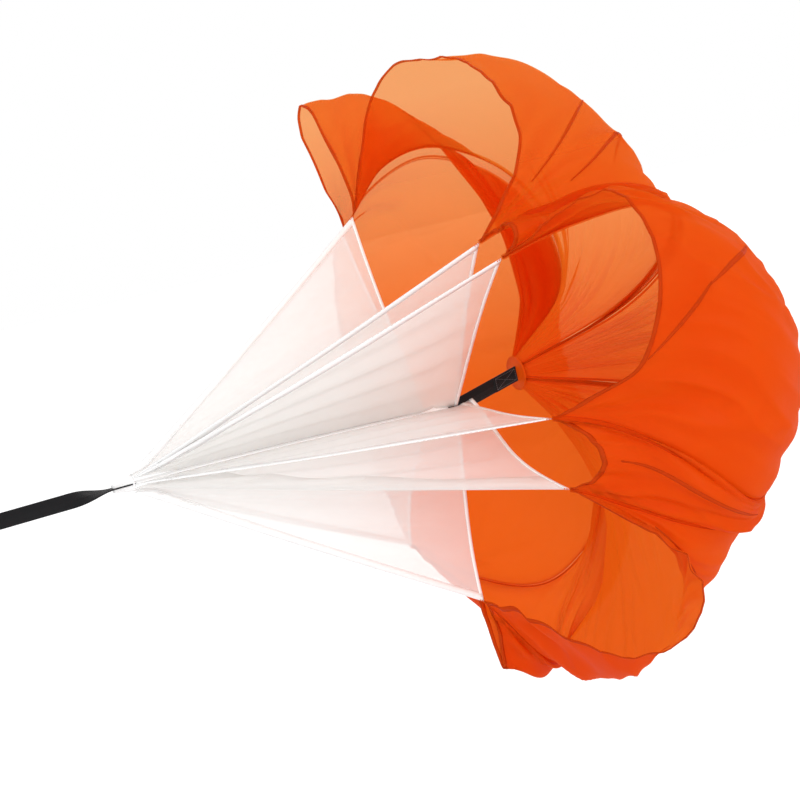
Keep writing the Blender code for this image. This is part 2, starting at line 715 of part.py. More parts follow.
def build():
    clear_scene()
    paints = materials()
    belt(paints)
    buckle(paints)
    slider(paints)
    ring_and_tab(paints)
    hook(paints)
    turn = swivel(paints)
    tether(paints, turn)
    chute(paints, turn)


build()
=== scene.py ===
"""A running parachute in flight: waist belt, swivel hook, webbing tether and four lobed nylon canopy."""
import math

import bmesh
import bpy
from mathutils import Matrix, Vector, noise


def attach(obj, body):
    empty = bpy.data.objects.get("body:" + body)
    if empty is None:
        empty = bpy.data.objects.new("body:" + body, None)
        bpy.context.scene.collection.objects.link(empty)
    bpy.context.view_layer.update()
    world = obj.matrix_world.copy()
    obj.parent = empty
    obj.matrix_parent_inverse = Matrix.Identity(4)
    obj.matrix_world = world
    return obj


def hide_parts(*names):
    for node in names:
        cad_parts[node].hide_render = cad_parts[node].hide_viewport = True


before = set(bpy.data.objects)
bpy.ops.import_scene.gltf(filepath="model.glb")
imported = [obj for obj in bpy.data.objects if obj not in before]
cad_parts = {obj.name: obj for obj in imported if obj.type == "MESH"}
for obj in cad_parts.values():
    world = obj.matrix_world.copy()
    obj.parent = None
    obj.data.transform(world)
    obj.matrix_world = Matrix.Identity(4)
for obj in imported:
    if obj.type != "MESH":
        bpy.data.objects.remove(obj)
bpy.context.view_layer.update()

# Camera
# It stands where the photograph was taken from: a little above the chute, on the runner's right, with the
# chute flying away to the right of the picture.
CAMERA_PLACE = (-0.7187, -3.2584, 0.41885)
CAMERA_RIGHT = (0.86417, -0.45243, -0.22027)
CAMERA_UP = (0.247, 0, 0.96902)
CAMERA_BACK = (-0.43842, -0.8918, 0.11175)
SENSOR = 36
LENS = 99

lens = bpy.data.cameras.new("photographer")
lens.sensor_width = SENSOR
lens.lens = LENS
camera = bpy.data.objects.new("photographer", lens)
bpy.context.scene.collection.objects.link(camera)
turned = Matrix((CAMERA_RIGHT, CAMERA_UP, CAMERA_BACK)).transposed().to_4x4()
camera.matrix_world = Matrix.Translation(CAMERA_PLACE) @ turned
bpy.context.scene.camera = camera


# Tether
# Flat black polyester webbing, 25 mm wide, woven in a herringbone. It runs taut from the stitched loop at
# the hook to the apex of the chute, and turns a quarter on the way, so that it meets the apex edge on.
GAP = 0.0003
WEBBING = 0.002
TETHER_WIDTH = 0.025
TETHER_START = 0.1402
TETHER_END = 0.3627
TETHER_STEPS = (6, 60)
TETHER_TURN_SHARES = (0.6, 1.0)
STRAP_TWIST = 90
WEBBING_BLACK = (0.006, 0.006, 0.007)
WEBBING_WORN = (0.01, 0.01, 0.012)
WEBBING_ROUGHNESS = 0.78
WEBBING_SHINE = 0.2
WEBBING_FUZZ = 0.12
FUZZ_ROUGHNESS = 0.4
WEAVE_RIB = 0.0016
WEAVE_SLANT = 1.3
WEAVE_HEIGHT = WEBBING / 6
WORN_SCALE = 90
ROUNDED_SHARE = 0.25
ROUNDED_STEPS = 2
ROUNDED_ANGLE = 50


def eased(share):
    share = min(1, max(0, share))
    return share * share * (3 - 2 * share)


def wire(tree, start, end):
    tree.links.new(start, end)


def sums(tree, how, first, second):
    """A Math node on two inputs, each a socket or a plain number."""
    node = tree.nodes.new("ShaderNodeMath")
    node.operation = how
    for socket, value in zip(node.inputs, (first, second)):
        if isinstance(value, (int, float)):
            socket.default_value = value
        else:
            wire(tree, value, socket)
    return node.outputs[0]


def between(tree, share, low, high):
    """A colour from low to high as share goes from 0 to 1."""
    mix = tree.nodes.new("ShaderNodeMix")
    mix.data_type = "RGBA"
    wire(tree, share, mix.inputs["Factor"])
    mix.inputs["A"].default_value = (*low, 1)
    mix.inputs["B"].default_value = (*high, 1)
    return mix.outputs["Result"]


def ranged(tree, share, low, high):
    """A value from low to high as share goes from 0 to 1."""
    return sums(tree, "ADD", sums(tree, "MULTIPLY", share, high - low), low)


def bumped(tree, shader, height, distance, strength=1.0):
    bump = tree.nodes.new("ShaderNodeBump")
    bump.inputs["Distance"].default_value = distance
    bump.inputs["Strength"].default_value = strength
    wire(tree, height, bump.inputs["Height"])
    wire(tree, bump.outputs["Normal"], shader.inputs["Normal"])


def mottled(tree, scale, detail=4.0):
    place = tree.nodes.new("ShaderNodeTexCoord")
    noise_node = tree.nodes.new("ShaderNodeTexNoise")
    noise_node.inputs["Scale"].default_value = scale
    noise_node.inputs["Detail"].default_value = detail
    wire(tree, place.outputs["Object"], noise_node.inputs["Vector"])
    return noise_node.outputs["Fac"]


def new_finish(name, settings):
    """A new material, its node tree, and its main shader with these settings."""
    made = bpy.data.materials.new(name)
    made.use_nodes = True
    shader = made.node_tree.nodes["Principled BSDF"]
    for socket, value in settings.items():
        shader.inputs[socket].default_value = value
    return made, made.node_tree, shader


def woven_place(tree):
    """The flat place on a cloth or strap, in metres: X is across it and Y is along it."""
    flat = tree.nodes.new("ShaderNodeUVMap")
    flat.uv_map = "weave"
    apart = tree.nodes.new("ShaderNodeSeparateXYZ")
    wire(tree, flat.outputs["UV"], apart.inputs["Vector"])
    return apart.outputs


def webbing_finish(name, dark, worn, width):
    """Herringbone webbing. Its ribs slant to both sides from the strap's middle."""
    made, tree, shader = new_finish(name, {
        "Roughness": WEBBING_ROUGHNESS,
        "Specular IOR Level": WEBBING_SHINE,
        "Sheen Weight": WEBBING_FUZZ,
        "Sheen Roughness": FUZZ_ROUGHNESS,
    })
    flat = woven_place(tree)
    centred = sums(tree, "SUBTRACT", flat["X"], width / 2)
    folded = sums(tree, "ABSOLUTE", centred, 0)
    slanted = sums(tree, "MULTIPLY", folded, WEAVE_SLANT)
    slope = sums(tree, "ADD", slanted, flat["Y"])
    turns = sums(tree, "MULTIPLY", slope, 2 * math.pi / WEAVE_RIB)
    rib = sums(tree, "SINE", turns, 0)
    raised = sums(tree, "MULTIPLY", sums(tree, "ADD", rib, 1), 0.5)
    blotch = mottled(tree, WORN_SCALE)
    colour = between(tree, sums(tree, "MULTIPLY", raised, blotch), dark, worn)
    wire(tree, colour, shader.inputs["Base Color"])
    bumped(tree, shader, raised, WEAVE_HEIGHT)
    return made


def made_piece(shape, name, finish):
    """A piece in the scene from a bmesh, which is used up."""
    mesh = bpy.data.meshes.new(name)
    shape.to_mesh(mesh)
    shape.free()
    mesh.materials.append(finish)
    piece = bpy.data.objects.new(name, mesh)
    bpy.context.scene.collection.objects.link(piece)
    return piece


def thickened(piece, thickness):
    wall = piece.modifiers.new("thickness", "SOLIDIFY")
    wall.thickness = thickness
    wall.offset = 0


def laid(name, steps, flat, place, thickness, finish):
    """A cloth or strap from a grid: place(across, along) sets its corners, and UV "weave" lays it flat."""
    shape = bmesh.new()
    weave = shape.loops.layers.uv.new("weave")
    bmesh.ops.create_grid(shape, x_segments=steps[0], y_segments=steps[1], size=0.5)
    for face in shape.faces:
        for corner in face.loops:
            spot = corner.vert.co
            corner[weave].uv = ((spot.x + 0.5) * flat[0], (spot.y + 0.5) * flat[1])
        face.smooth = True
    for corner in shape.verts:
        corner.co = place(min(1, max(0, corner.co.x + 0.5)), min(1, max(0, corner.co.y + 0.5)))
    piece = made_piece(shape, name, finish)
    if thickness:
        thickened(piece, thickness)
    return piece


def soft_edges(piece, width):
    edges = piece.modifiers.new("edges", "BEVEL")
    edges.width = width
    edges.segments = ROUNDED_STEPS
    edges.limit_method = "ANGLE"
    edges.angle_limit = math.radians(ROUNDED_ANGLE)


strap_black = webbing_finish("black_herringbone_webbing", WEBBING_BLACK, WEBBING_WORN, TETHER_WIDTH)


def tether_place(across, along):
    start, end = TETHER_TURN_SHARES
    angle = math.radians(STRAP_TWIST * eased((along - start) / (end - start)))
    side = (across - 0.5) * TETHER_WIDTH
    return Vector((TETHER_START + along * (TETHER_END - TETHER_START), side * math.sin(angle),
                   side * math.cos(angle)))


tether = laid("tether_webbing", TETHER_STEPS, (TETHER_WIDTH, TETHER_END - TETHER_START), tether_place,
              WEBBING, strap_black)
soft_edges(tether, ROUNDED_SHARE * WEBBING)
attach(tether, "chute")
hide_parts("tether")


# Stitches
# Grey bonded thread, sewn by machine in short rows. A box with a cross in it holds each folded end of a
# strap.
THREAD = 0.0009
STITCH = 0.0032
HALF_STITCH_SHARE = 0.42
THREAD_GREY = (0.09, 0.09, 0.095)
THREAD_ROUGHNESS = 0.6
FIBRE_SCALE = 900
FIBRE_LIGHTER = 1.6
FIBRE_HEIGHT = THREAD / 6


def thread_finish(name, colour):
    made, tree, shader = new_finish(name, {"Roughness": THREAD_ROUGHNESS})
    fibre = mottled(tree, FIBRE_SCALE)
    lighter = [FIBRE_LIGHTER * part for part in colour]
    wire(tree, between(tree, fibre, colour, lighter), shader.inputs["Base Color"])
    bumped(tree, shader, fibre, FIBRE_HEIGHT)
    return made


def stitched(name, rows, finish, body):
    """Stitches along rows. A row is two ends, and the direction that the cloth faces there."""
    shape = bmesh.new()
    for start, end, face in rows:
        run = Vector(end) - Vector(start)
        count = max(1, round(run.length / STITCH))
        turn = Matrix((run.normalized(), Vector(face).cross(run).normalized(), Vector(face))).transposed()
        for k in range(count):
            middle = Vector(start) + run * ((k + 0.5) / count)
            spot = Matrix.Translation(middle) @ turn.to_4x4()
            size = Matrix.Diagonal((HALF_STITCH_SHARE * run.length / count, THREAD / 2, THREAD / 2, 1))
            bmesh.ops.create_icosphere(shape, subdivisions=1, radius=1, matrix=spot @ size)
    for face in shape.faces:
        face.smooth = True
    piece = made_piece(shape, name, finish)
    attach(piece, body)
    return piece


def box_cross(low, high, level, face):
    """The rows of a box with a cross. The cloth faces along one axis, and level is its place there."""
    axis = max(range(3), key=lambda k: abs(face[k]))
    first, second = [k for k in range(3) if k != axis]

    def spot(u, v):
        place = [0, 0, 0]
        place[axis] = level
        place[first] = (low[0], high[0])[u]
        place[second] = (low[1], high[1])[v]
        return place

    ends = (((0, 0), (1, 0)), ((1, 0), (1, 1)), ((1, 1), (0, 1)), ((0, 1), (0, 0)), ((0, 0), (1, 1)),
            ((0, 1), (1, 0)))
    return [(spot(*a), spot(*b), face) for a, b in ends]


thread_grey = thread_finish("grey_bonded_thread", THREAD_GREY)


# Waist belt
# 38 mm black webbing, closed round the runner's waist. One end is sewn into the buckle's socket, and the
# other runs through the slider and back to the plug.
BELT_WIDTH = 0.038
BELT_THICK = 0.0025
BELT_ACROSS = 0.32
BELT_DEPTH = 0.235
BELT_CORNER = 0.075
BELT_ENDS = (-0.0385, 0.0213)
BELT_STEPS = 240
BELT_STEPS_ACROSS = 6

belt_black = webbing_finish("black_belt_webbing", WEBBING_BLACK, WEBBING_WORN, BELT_WIDTH)


def belt_line(share):
    """A point of the belt's inner face and the direction out of it, from the socket round the back."""
    straight = BELT_ACROSS / 2 - BELT_CORNER
    bend = BELT_CORNER * math.pi / 2
    back = BELT_DEPTH - 2 * BELT_CORNER
    side = (bend, back, bend)
    runs = (straight + BELT_ENDS[0], *side, 2 * straight, *side, straight - BELT_ENDS[1])
    left = share * sum(runs)
    spot = Vector((-BELT_DEPTH, BELT_ENDS[0], 0))
    heading = -math.pi / 2
    for k, run in enumerate(runs):
        step = min(left, run)
        if k % 2:
            middle = spot + BELT_CORNER * Vector((-math.sin(heading), math.cos(heading), 0))
            heading += step / BELT_CORNER
            spot = middle - BELT_CORNER * Vector((-math.sin(heading), math.cos(heading), 0))
        else:
            spot = spot + step * Vector((math.cos(heading), math.sin(heading), 0))
        left -= step
        if left <= 0:
            break
    return spot, Vector((math.sin(heading), -math.cos(heading), 0))


def belt_place(across, along):
    spot, out = belt_line(along)
    return spot + out * (BELT_THICK / 2) + Vector((0, 0, (across - 0.5) * BELT_WIDTH))


def belt_length():
    spots = [belt_line(k / BELT_STEPS)[0] for k in range(BELT_STEPS + 1)]
    return sum((b - a).length for a, b in zip(spots, spots[1:]))


belt = laid("waist_belt", (BELT_STEPS_ACROSS, BELT_STEPS), (BELT_WIDTH, belt_length()), belt_place,
            BELT_THICK, belt_black)
soft_edges(belt, ROUNDED_SHARE * BELT_THICK)
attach(belt, "belt")
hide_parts("belt_webbing")


# Ring tab
# A short length of webbing folded round the ring's straight bar, with both tails sewn flat on the belt
# with a box and a cross each.
TAB_WIDTH = 0.03
TAB_TAIL = 0.024
TAB_THICK = 0.0014
RING_WIRE = 0.0044
TAB_FACE = BELT_THICK + GAP + TAB_THICK / 2
TAB_WRAP = RING_WIRE / 2 + GAP + TAB_THICK / 2
TAB_BAR_X = BELT_THICK + 2 * GAP + TAB_THICK + RING_WIRE / 2 + GAP
TAB_STEPS = (4, 72)
TAB_FOLD_SHARES = (0.3, 0.7)
TAB_RISE = 4
TAB_EDGE = TAB_THICK / 5
TAB_BOX = 0.004

tab_black = webbing_finish("black_tab_webbing", WEBBING_BLACK, WEBBING_WORN, TAB_WIDTH)


def tab_place(across, along):
    """Tail, fold and tail. The tails rise gently to the fold, as sewn webbing does."""
    side = (across - 0.5) * TAB_WIDTH
    start, end = TAB_FOLD_SHARES
    if start <= along <= end:
        turn = math.pi * ((along - start) / (end - start) - 0.5)
        return Vector((TAB_BAR_X + TAB_WRAP * math.cos(turn), TAB_WRAP * math.sin(turn), side))
    tail = (start - along) / start if along < 0.5 else (along - end) / (1 - end)
    y = TAB_WRAP + (TAB_TAIL - TAB_WRAP) * tail
    x = TAB_FACE + (TAB_BAR_X - TAB_FACE) * (1 - eased(TAB_RISE * tail))
    return Vector((x, -y if along < 0.5 else y, side))


tab = laid("ring_tab_webbing", TAB_STEPS, (TAB_WIDTH, 2 * TAB_TAIL + math.pi * TAB_WRAP), tab_place,
           TAB_THICK, tab_black)
soft_edges(tab, TAB_EDGE)
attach(tab, "belt")
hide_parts("ring_tab")
tab_level = TAB_FACE + TAB_THICK / 2
tab_edge = TAB_WIDTH / 2 - TAB_BOX / 2
tab_near = TAB_WRAP + TAB_BOX
tab_far = TAB_TAIL - TAB_BOX / 2
tab_rows = box_cross((-tab_far, -tab_edge), (-tab_near, tab_edge), tab_level, (1, 0, 0))
tab_rows += box_cross((tab_near, -tab_edge), (tab_far, tab_edge), tab_level, (1, 0, 0))
stitched("ring_tab_stitches", tab_rows, thread_grey, "belt")


# Buckle and slider
# Acetal mouldings: the socket and plug of a side release buckle with two sprung prongs, and a tri-glide
# slider. The surface has the fine grain of a spark eroded mould.
MOULDED_BLACK = (0.008, 0.008, 0.0085)
MOULDED_GREY = (0.02, 0.02, 0.021)
MOULDED_SHINE = 0.45
MOULDED_ROUGHNESS = (0.32, 0.52)
MOULD_GRAIN = 0.00006
MOULD_GRAIN_SCALE = 1600
MOULD_GRAIN_DETAIL = 2
RUB_SCALE = 60
RUB_DETAIL = 6


def moulded_finish(name, dark, light):
    made, tree, shader = new_finish(name, {"Specular IOR Level": MOULDED_SHINE})
    grain = mottled(tree, MOULD_GRAIN_SCALE, MOULD_GRAIN_DETAIL)
    rub = mottled(tree, RUB_SCALE, RUB_DETAIL)
    wire(tree, between(tree, rub, dark, light), shader.inputs["Base Color"])
    wire(tree, ranged(tree, rub, *MOULDED_ROUGHNESS), shader.inputs["Roughness"])
    bumped(tree, shader, grain, MOULD_GRAIN)
    return made


def dressed(finish, *names):
    """The CAD piece stays, and takes this finish on its own slots."""
    for name in names:
        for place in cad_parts[name].material_slots:
            place.link = "OBJECT"
            place.material = finish


dressed(moulded_finish("black_acetal", MOULDED_BLACK, MOULDED_GREY), "buckle_socket", "buckle_plug",
        "prong_upper", "prong_lower", "slider")


# Ring, hook, gate and swivel
# Steel wire and zinc castings with bright nickel plating. Fine drawing marks and small dull patches
# break the shine.
NICKEL = (0.62, 0.61, 0.59)
NICKEL_DULL = (0.44, 0.43, 0.41)
NICKEL_ROUGHNESS = (0.12, 0.37)
DULL_SCALE = 120
DULL_DETAIL = 5
DRAWN_MARK = 0.00003
DRAWN_SCALE = 700
DRAWN_DETAIL = 3


def plated_finish(name, bright, dull):
    made, tree, shader = new_finish(name, {"Metallic": 1})
    patches = mottled(tree, DULL_SCALE, DULL_DETAIL)
    marks = mottled(tree, DRAWN_SCALE, DRAWN_DETAIL)
    wire(tree, between(tree, patches, bright, dull), shader.inputs["Base Color"])
    wire(tree, ranged(tree, patches, *NICKEL_ROUGHNESS), shader.inputs["Roughness"])
    bumped(tree, shader, marks, DRAWN_MARK)
    return made


dressed(plated_finish("bright_nickel_plate", NICKEL, NICKEL_DULL), "d_ring", "snap_hook", "gate_pin",
        "hook_gate", "swivel_eye")


# Tether loop
# The tether's end, of the same webbing, folded round the swivel's bar and stitched back to itself with a
# box and a cross.
EYE_BAR_X = 0.1039
EYE_WIRE = 0.0042
LOOP_END = 0.1399
LOOP_WRAP = EYE_WIRE / 2 + GAP + WEBBING / 2
LOOP_CLOSE = EYE_BAR_X + 3 * LOOP_WRAP
LOOP_LIE = (WEBBING + GAP) / 2
LOOP_MARGIN = 0.003
LOOP_FOLD_SHARES = (0.35, 0.65)
LOOP_LEAVES = 70
LOOP_STEPS = (4, 80)


def loop_place(across, along):
    """One side in, round the bar and the other side out. The sides close in a soft curve behind the bar."""
    side = (across - 0.5) * TETHER_WIDTH
    start, end = LOOP_FOLD_SHARES
    if start <= along <= end:
        turn = math.radians(LOOP_LEAVES + (360 - 2 * LOOP_LEAVES) * (along - start) / (end - start))
        return Vector((EYE_BAR_X + LOOP_WRAP * math.cos(turn), LOOP_WRAP * math.sin(turn), side))
    share = along / start if along < 0.5 else (1 - along) / (1 - end)
    start_x = EYE_BAR_X + LOOP_WRAP * math.cos(math.radians(LOOP_LEAVES))
    start_y = LOOP_WRAP * math.sin(math.radians(LOOP_LEAVES))
    x = LOOP_END + (start_x - LOOP_END) * share
    closing = eased((x - start_x) / (LOOP_CLOSE - start_x))
    y = start_y + (LOOP_LIE - start_y) * closing
    return Vector((x, y if along < 0.5 else -y, side))


loop = laid("tether_loop_webbing", LOOP_STEPS, (TETHER_WIDTH, 2 * (LOOP_END - EYE_BAR_X) + 2 * LOOP_WRAP),
            loop_place, WEBBING, strap_black)
soft_edges(loop, ROUNDED_SHARE * WEBBING)
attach(loop, "chute")
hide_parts("tether_loop")
loop_level = LOOP_LIE + WEBBING / 2
loop_edge = TETHER_WIDTH / 2 - LOOP_MARGIN
loop_low = (LOOP_CLOSE + LOOP_MARGIN, -loop_edge)
loop_high = (LOOP_END - LOOP_MARGIN, loop_edge)
loop_rows = box_cross(loop_low, loop_high, loop_level, (0, 1, 0))
loop_rows += box_cross(loop_low, loop_high, -loop_level, (0, -1, 0))
stitched("tether_loop_stitches", loop_rows, thread_grey, "chute")


# Apex
# The points of the eight fins are gathered round the end of the tether and the start of the centre strap,
# and sewn together. The bundle is a fluted cone of white nylon.
APEX_X = 0.375
KEEPER_AHEAD = 0.012
KEEPER_LENGTH = 0.034
KEEPER_END = APEX_X - KEEPER_AHEAD + KEEPER_LENGTH
KEEPER_FRONT = 0.014
KEEPER_BACK = 0.026
KEEPER_STEPS = (128, 16)
WELD = GAP / 10
GATHERS = 16
GATHER_DEPTH_SHARE = 0.14
GATHERED_SHADED = (0.9, 0.9, 0.9)
GATHERED_LIT = (0.95, 0.95, 0.95)
GATHERED_GLOW = 0.15
NYLON_WHITE = (0.98, 0.98, 0.98)
NYLON_ROUGHNESS = 0.5
NYLON_SHINE = 0.1
NOT_TINTED = (1, 1, 1)
NOT_SHEER = (1, 1)
TINT_SCALE = 24
TINT_DETAIL = 14
RIPSTOP = 0.0025
RIPSTOP_POWER = 12
RIPSTOP_SHARE = 0.03
CRUMPLE = 0.003
CRUMPLE_SCALE = 11
CRUMPLE_DETAIL = 6
CRUMPLE_SINK_SHARE = 3
CRUMPLE_STRENGTH = 0.6
# Heights where the cover ramp ends. The cloth is most solid at the low one, as painted shade, and sheerest
# at the high one, as painted sky light.
PAINTED_SHADE_HEIGHT = -0.05
PAINTED_SKY_LIGHT_HEIGHT = 0.5


def nylon_finish(name, colour, shaded, lit_through, glow, covers, seen_through=NOT_TINTED, crumple=CRUMPLE):
    """Thin ripstop nylon, a little sheer. It glows with light from behind. It covers more low down and is
    sheerer high up: painted shade on the low cloth and painted sky light on the high cloth.
    """
    made, tree, cloth = new_finish(name, {"Roughness": NYLON_ROUGHNESS, "Specular IOR Level": NYLON_SHINE})
    spread = mottled(tree, TINT_SCALE, TINT_DETAIL)
    wire(tree, between(tree, spread, colour, shaded), cloth.inputs["Base Color"])
    flat = woven_place(tree)
    lines = []
    for side in ("X", "Y"):
        turns = sums(tree, "MULTIPLY", flat[side], math.pi / RIPSTOP)
        wave = sums(tree, "ABSOLUTE", sums(tree, "COSINE", turns, 0), 0)
        lines.append(sums(tree, "POWER", wave, RIPSTOP_POWER))
    grid = sums(tree, "MULTIPLY", sums(tree, "MAXIMUM", *lines), RIPSTOP_SHARE)
    patches = mottled(tree, CRUMPLE_SCALE, CRUMPLE_DETAIL)
    crease = sums(tree, "ABSOLUTE", sums(tree, "SUBTRACT", patches, 0.5), 0)
    height = sums(tree, "ADD", grid, sums(tree, "MULTIPLY", crease, -CRUMPLE_SINK_SHARE))
    bumped(tree, cloth, height, crumple, CRUMPLE_STRENGTH)
    through = tree.nodes.new("ShaderNodeBsdfTranslucent")
    through.inputs["Color"].default_value = (*lit_through, 1)
    sheer = tree.nodes.new("ShaderNodeBsdfTransparent")
    sheer.inputs["Color"].default_value = (*seen_through, 1)
    body = tree.nodes.new("ShaderNodeMixShader")
    body.inputs["Fac"].default_value = glow
    wire(tree, cloth.outputs["BSDF"], body.inputs[1])
    wire(tree, through.outputs["BSDF"], body.inputs[2])
    whole = tree.nodes.new("ShaderNodeMixShader")
    spot = tree.nodes.new("ShaderNodeTexCoord")
    level = tree.nodes.new("ShaderNodeSeparateXYZ")
    wire(tree, spot.outputs["Object"], level.inputs["Vector"])
    # Cover follows height. Painted shade makes the low cloth more solid and deeper, and painted sky light
    # makes the high cloth sheer and pale.
    cover = tree.nodes.new("ShaderNodeMapRange")
    cover.inputs["From Min"].default_value = PAINTED_SHADE_HEIGHT
    cover.inputs["From Max"].default_value = PAINTED_SKY_LIGHT_HEIGHT
    cover.inputs["To Min"].default_value = covers[0]
    cover.inputs["To Max"].default_value = covers[1]
    wire(tree, level.outputs["Z"], cover.inputs["Value"])
    wire(tree, cover.outputs["Result"], whole.inputs["Fac"])
    wire(tree, sheer.outputs["BSDF"], whole.inputs[1])
    wire(tree, body.outputs["Shader"], whole.inputs[2])
    wire(tree, whole.outputs["Shader"], tree.nodes["Material Output"].inputs["Surface"])
    return made


white_gathered = nylon_finish("white_nylon_gathered", NYLON_WHITE, GATHERED_SHADED, GATHERED_LIT,
                              GATHERED_GLOW, NOT_SHEER)


def apex_place(across, along):
    turn = 2 * math.pi * across
    radius = KEEPER_FRONT / 2 + (KEEPER_BACK - KEEPER_FRONT) / 2 * along
    radius = radius * (1 - GATHER_DEPTH_SHARE * (0.5 + 0.5 * math.cos(GATHERS * turn)))
    x = APEX_X - KEEPER_AHEAD + KEEPER_LENGTH * along
    return Vector((x, -radius * math.sin(turn), radius * math.cos(turn)))


def weld(piece, capped=False):
    """Closes the seam of a sheet that goes all the way round, and its two ends if it is capped."""
    shape = bmesh.new()
    shape.from_mesh(piece.data)
    bmesh.ops.remove_doubles(shape, verts=shape.verts, dist=WELD)
    if capped:
        bmesh.ops.holes_fill(shape, edges=shape.edges)
    bmesh.ops.recalc_face_normals(shape, faces=shape.faces)
    shape.to_mesh(piece.data)
    shape.free()


apex = laid("apex_gather", KEEPER_STEPS, (math.pi * KEEPER_BACK, KEEPER_LENGTH), apex_place, 0,
            white_gathered)
weld(apex, capped=True)
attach(apex, "chute")
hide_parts("apex_seam")

# The tether's end goes on between the gathered points, and its black edges show on both sides of them.
TAIL_LENGTH = 0.03
TAIL_STEPS = (6, 12)


def tail_place(across, along):
    return Vector((TETHER_END + along * TAIL_LENGTH, (across - 0.5) * TETHER_WIDTH, 0))


tail = laid("tether_tail_webbing", TAIL_STEPS, (TETHER_WIDTH, TAIL_LENGTH), tail_place, WEBBING,
            strap_black)
soft_edges(tail, ROUNDED_SHARE * WEBBING)
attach(tail, "chute")


# Fins
# Eight triangles of white nylon between the centre strap and the corners of the mouth. Each outer edge is
# hemmed, and so is the foot, which hangs in a curve between its corner and the strap.
CORNER_TURNS = (-42, -29, 46, 54, 96, 114, 181, 219)
CLOTH = 0.001
FIN_THICK = 0.0008
FIN_INNER = 0.0145
FIN_NARROW = 3 * FIN_INNER
FIN_SEAT_RISE = 6
FIN_FOOT = 0.61
FIN_BILLOW = 0.012
HANG = 0.026
HANG_POWER = 1.5
FIN_STEPS = (40, 56)
FIN_HEM = 0.007
FIN_HEM_SHARES = (1, 1, 1, 1, 1, 4, 1, 1)
FIN_HEM_THICK = 0.0014
FIN_HEM_STEPS = (2, 80)
FOOT_HEM_STEPS = (2, 56)
HEM_WIDEST_SHARE = 0.7
HEM_POINT_SHARE = 0.06
FIN_FOLD = 0.008
FIN_FOLDS_ACROSS = 9
FIN_FOLDS_ALONG = 2
FIN_FOLD_POWER = 6
FOOT_SHARES = (0.9, 0.9, 1, 1, 1.02, 1.05, 1, 0.9)
FOOT_CUT_SHARES = (0.01, 0.01, 0.01, 0.01, 0.05, 0.07, 0.02, 0.03)
FOOT_CUT_POWER = 1.6
RING_SETBACK = 0.585
RING_RADIUS = 0.365
MOUTH_LEAN_SHARE = 0.6
CROWN_SETBACK = 0.735
STRAP_TURN_SHARES = (0.68, 0.85)
EDGE_ON_SHARE = 0.05
EDGE_POWER = 4
CORNER_REACH_SHARES = (1.08, 1.0, 0.97, 1.01, 0.98, 1.03, 0.99, 0.97)
FIN_NAMES = ("far_upper", "top_left", "top_right", "near_upper", "near_lower", "bottom_near", "bottom_far",
             "far_lower")
SAMPLES = 24
WHITE_SHADED = (0.97, 0.965, 0.95)
WHITE_LIT = (0.99, 0.985, 0.97)
WHITE_GLOW = 0.55
WHITE_COVERS = (0.42, 0.42)
WHITE_THROUGH = (0.975, 0.975, 0.975)
WHITE_CRUMPLE = 0.002
WHITE_HEM_SHADED = (0.96, 0.96, 0.96)
WHITE_HEM_LIT = (0.98, 0.98, 0.98)
WHITE_HEM_GLOW = 0.12
WHITE_HEM_COVERS = (0.97, 0.97)
SEWN_CRUMPLE = 0.0005

white_nylon = nylon_finish("white_nylon", NYLON_WHITE, WHITE_SHADED, WHITE_LIT, WHITE_GLOW, WHITE_COVERS,
                           WHITE_THROUGH, WHITE_CRUMPLE)
white_hem = nylon_finish("white_nylon_hem", NYLON_WHITE, WHITE_HEM_SHADED, WHITE_HEM_LIT, WHITE_HEM_GLOW,
                         WHITE_HEM_COVERS, crumple=SEWN_CRUMPLE)


def round_axis(setback, reach, turn):
    """A point by its distance behind the apex, its distance from the axis and its turn in degrees."""
    angle = math.radians(turn)
    return Vector((APEX_X + setback, -reach * math.sin(angle), reach * math.cos(angle)))


def mouth_setback(reach, lean):
    return RING_SETBACK + lean * MOUTH_LEAN_SHARE * (reach - RING_RADIUS)


def hang_at(setback):
    """How far the strap and the fins' inner edges hang below the axis. It is most at the fins' feet."""
    start = KEEPER_END - APEX_X
    before = max(0, (setback - start) / (FIN_FOOT - start))
    after = max(0, (CROWN_SETBACK - setback) / (CROWN_SETBACK - FIN_FOOT))
    return HANG * min(before ** HANG_POWER, after)


def strap_lies(setback):
    """The strap's turn in degrees there. It lies flat between the fins and stands upright at the crown."""
    start, end = STRAP_TURN_SHARES
    share = (setback - KEEPER_END + APEX_X) / (CROWN_SETBACK - KEEPER_END + APEX_X)
    return STRAP_TWIST * (1 - eased((share - start) / (end - start)))


def strap_reach(turn, setback):
    """How far the strap's surface is from its middle line in that direction."""
    apart = math.radians(turn - strap_lies(setback))
    to_edge = TETHER_WIDTH / 2 / max(EDGE_ON_SHARE, abs(math.cos(apart)))
    to_face = WEBBING / 2 / max(EDGE_ON_SHARE, abs(math.sin(apart)))
    return min(to_edge, to_face)


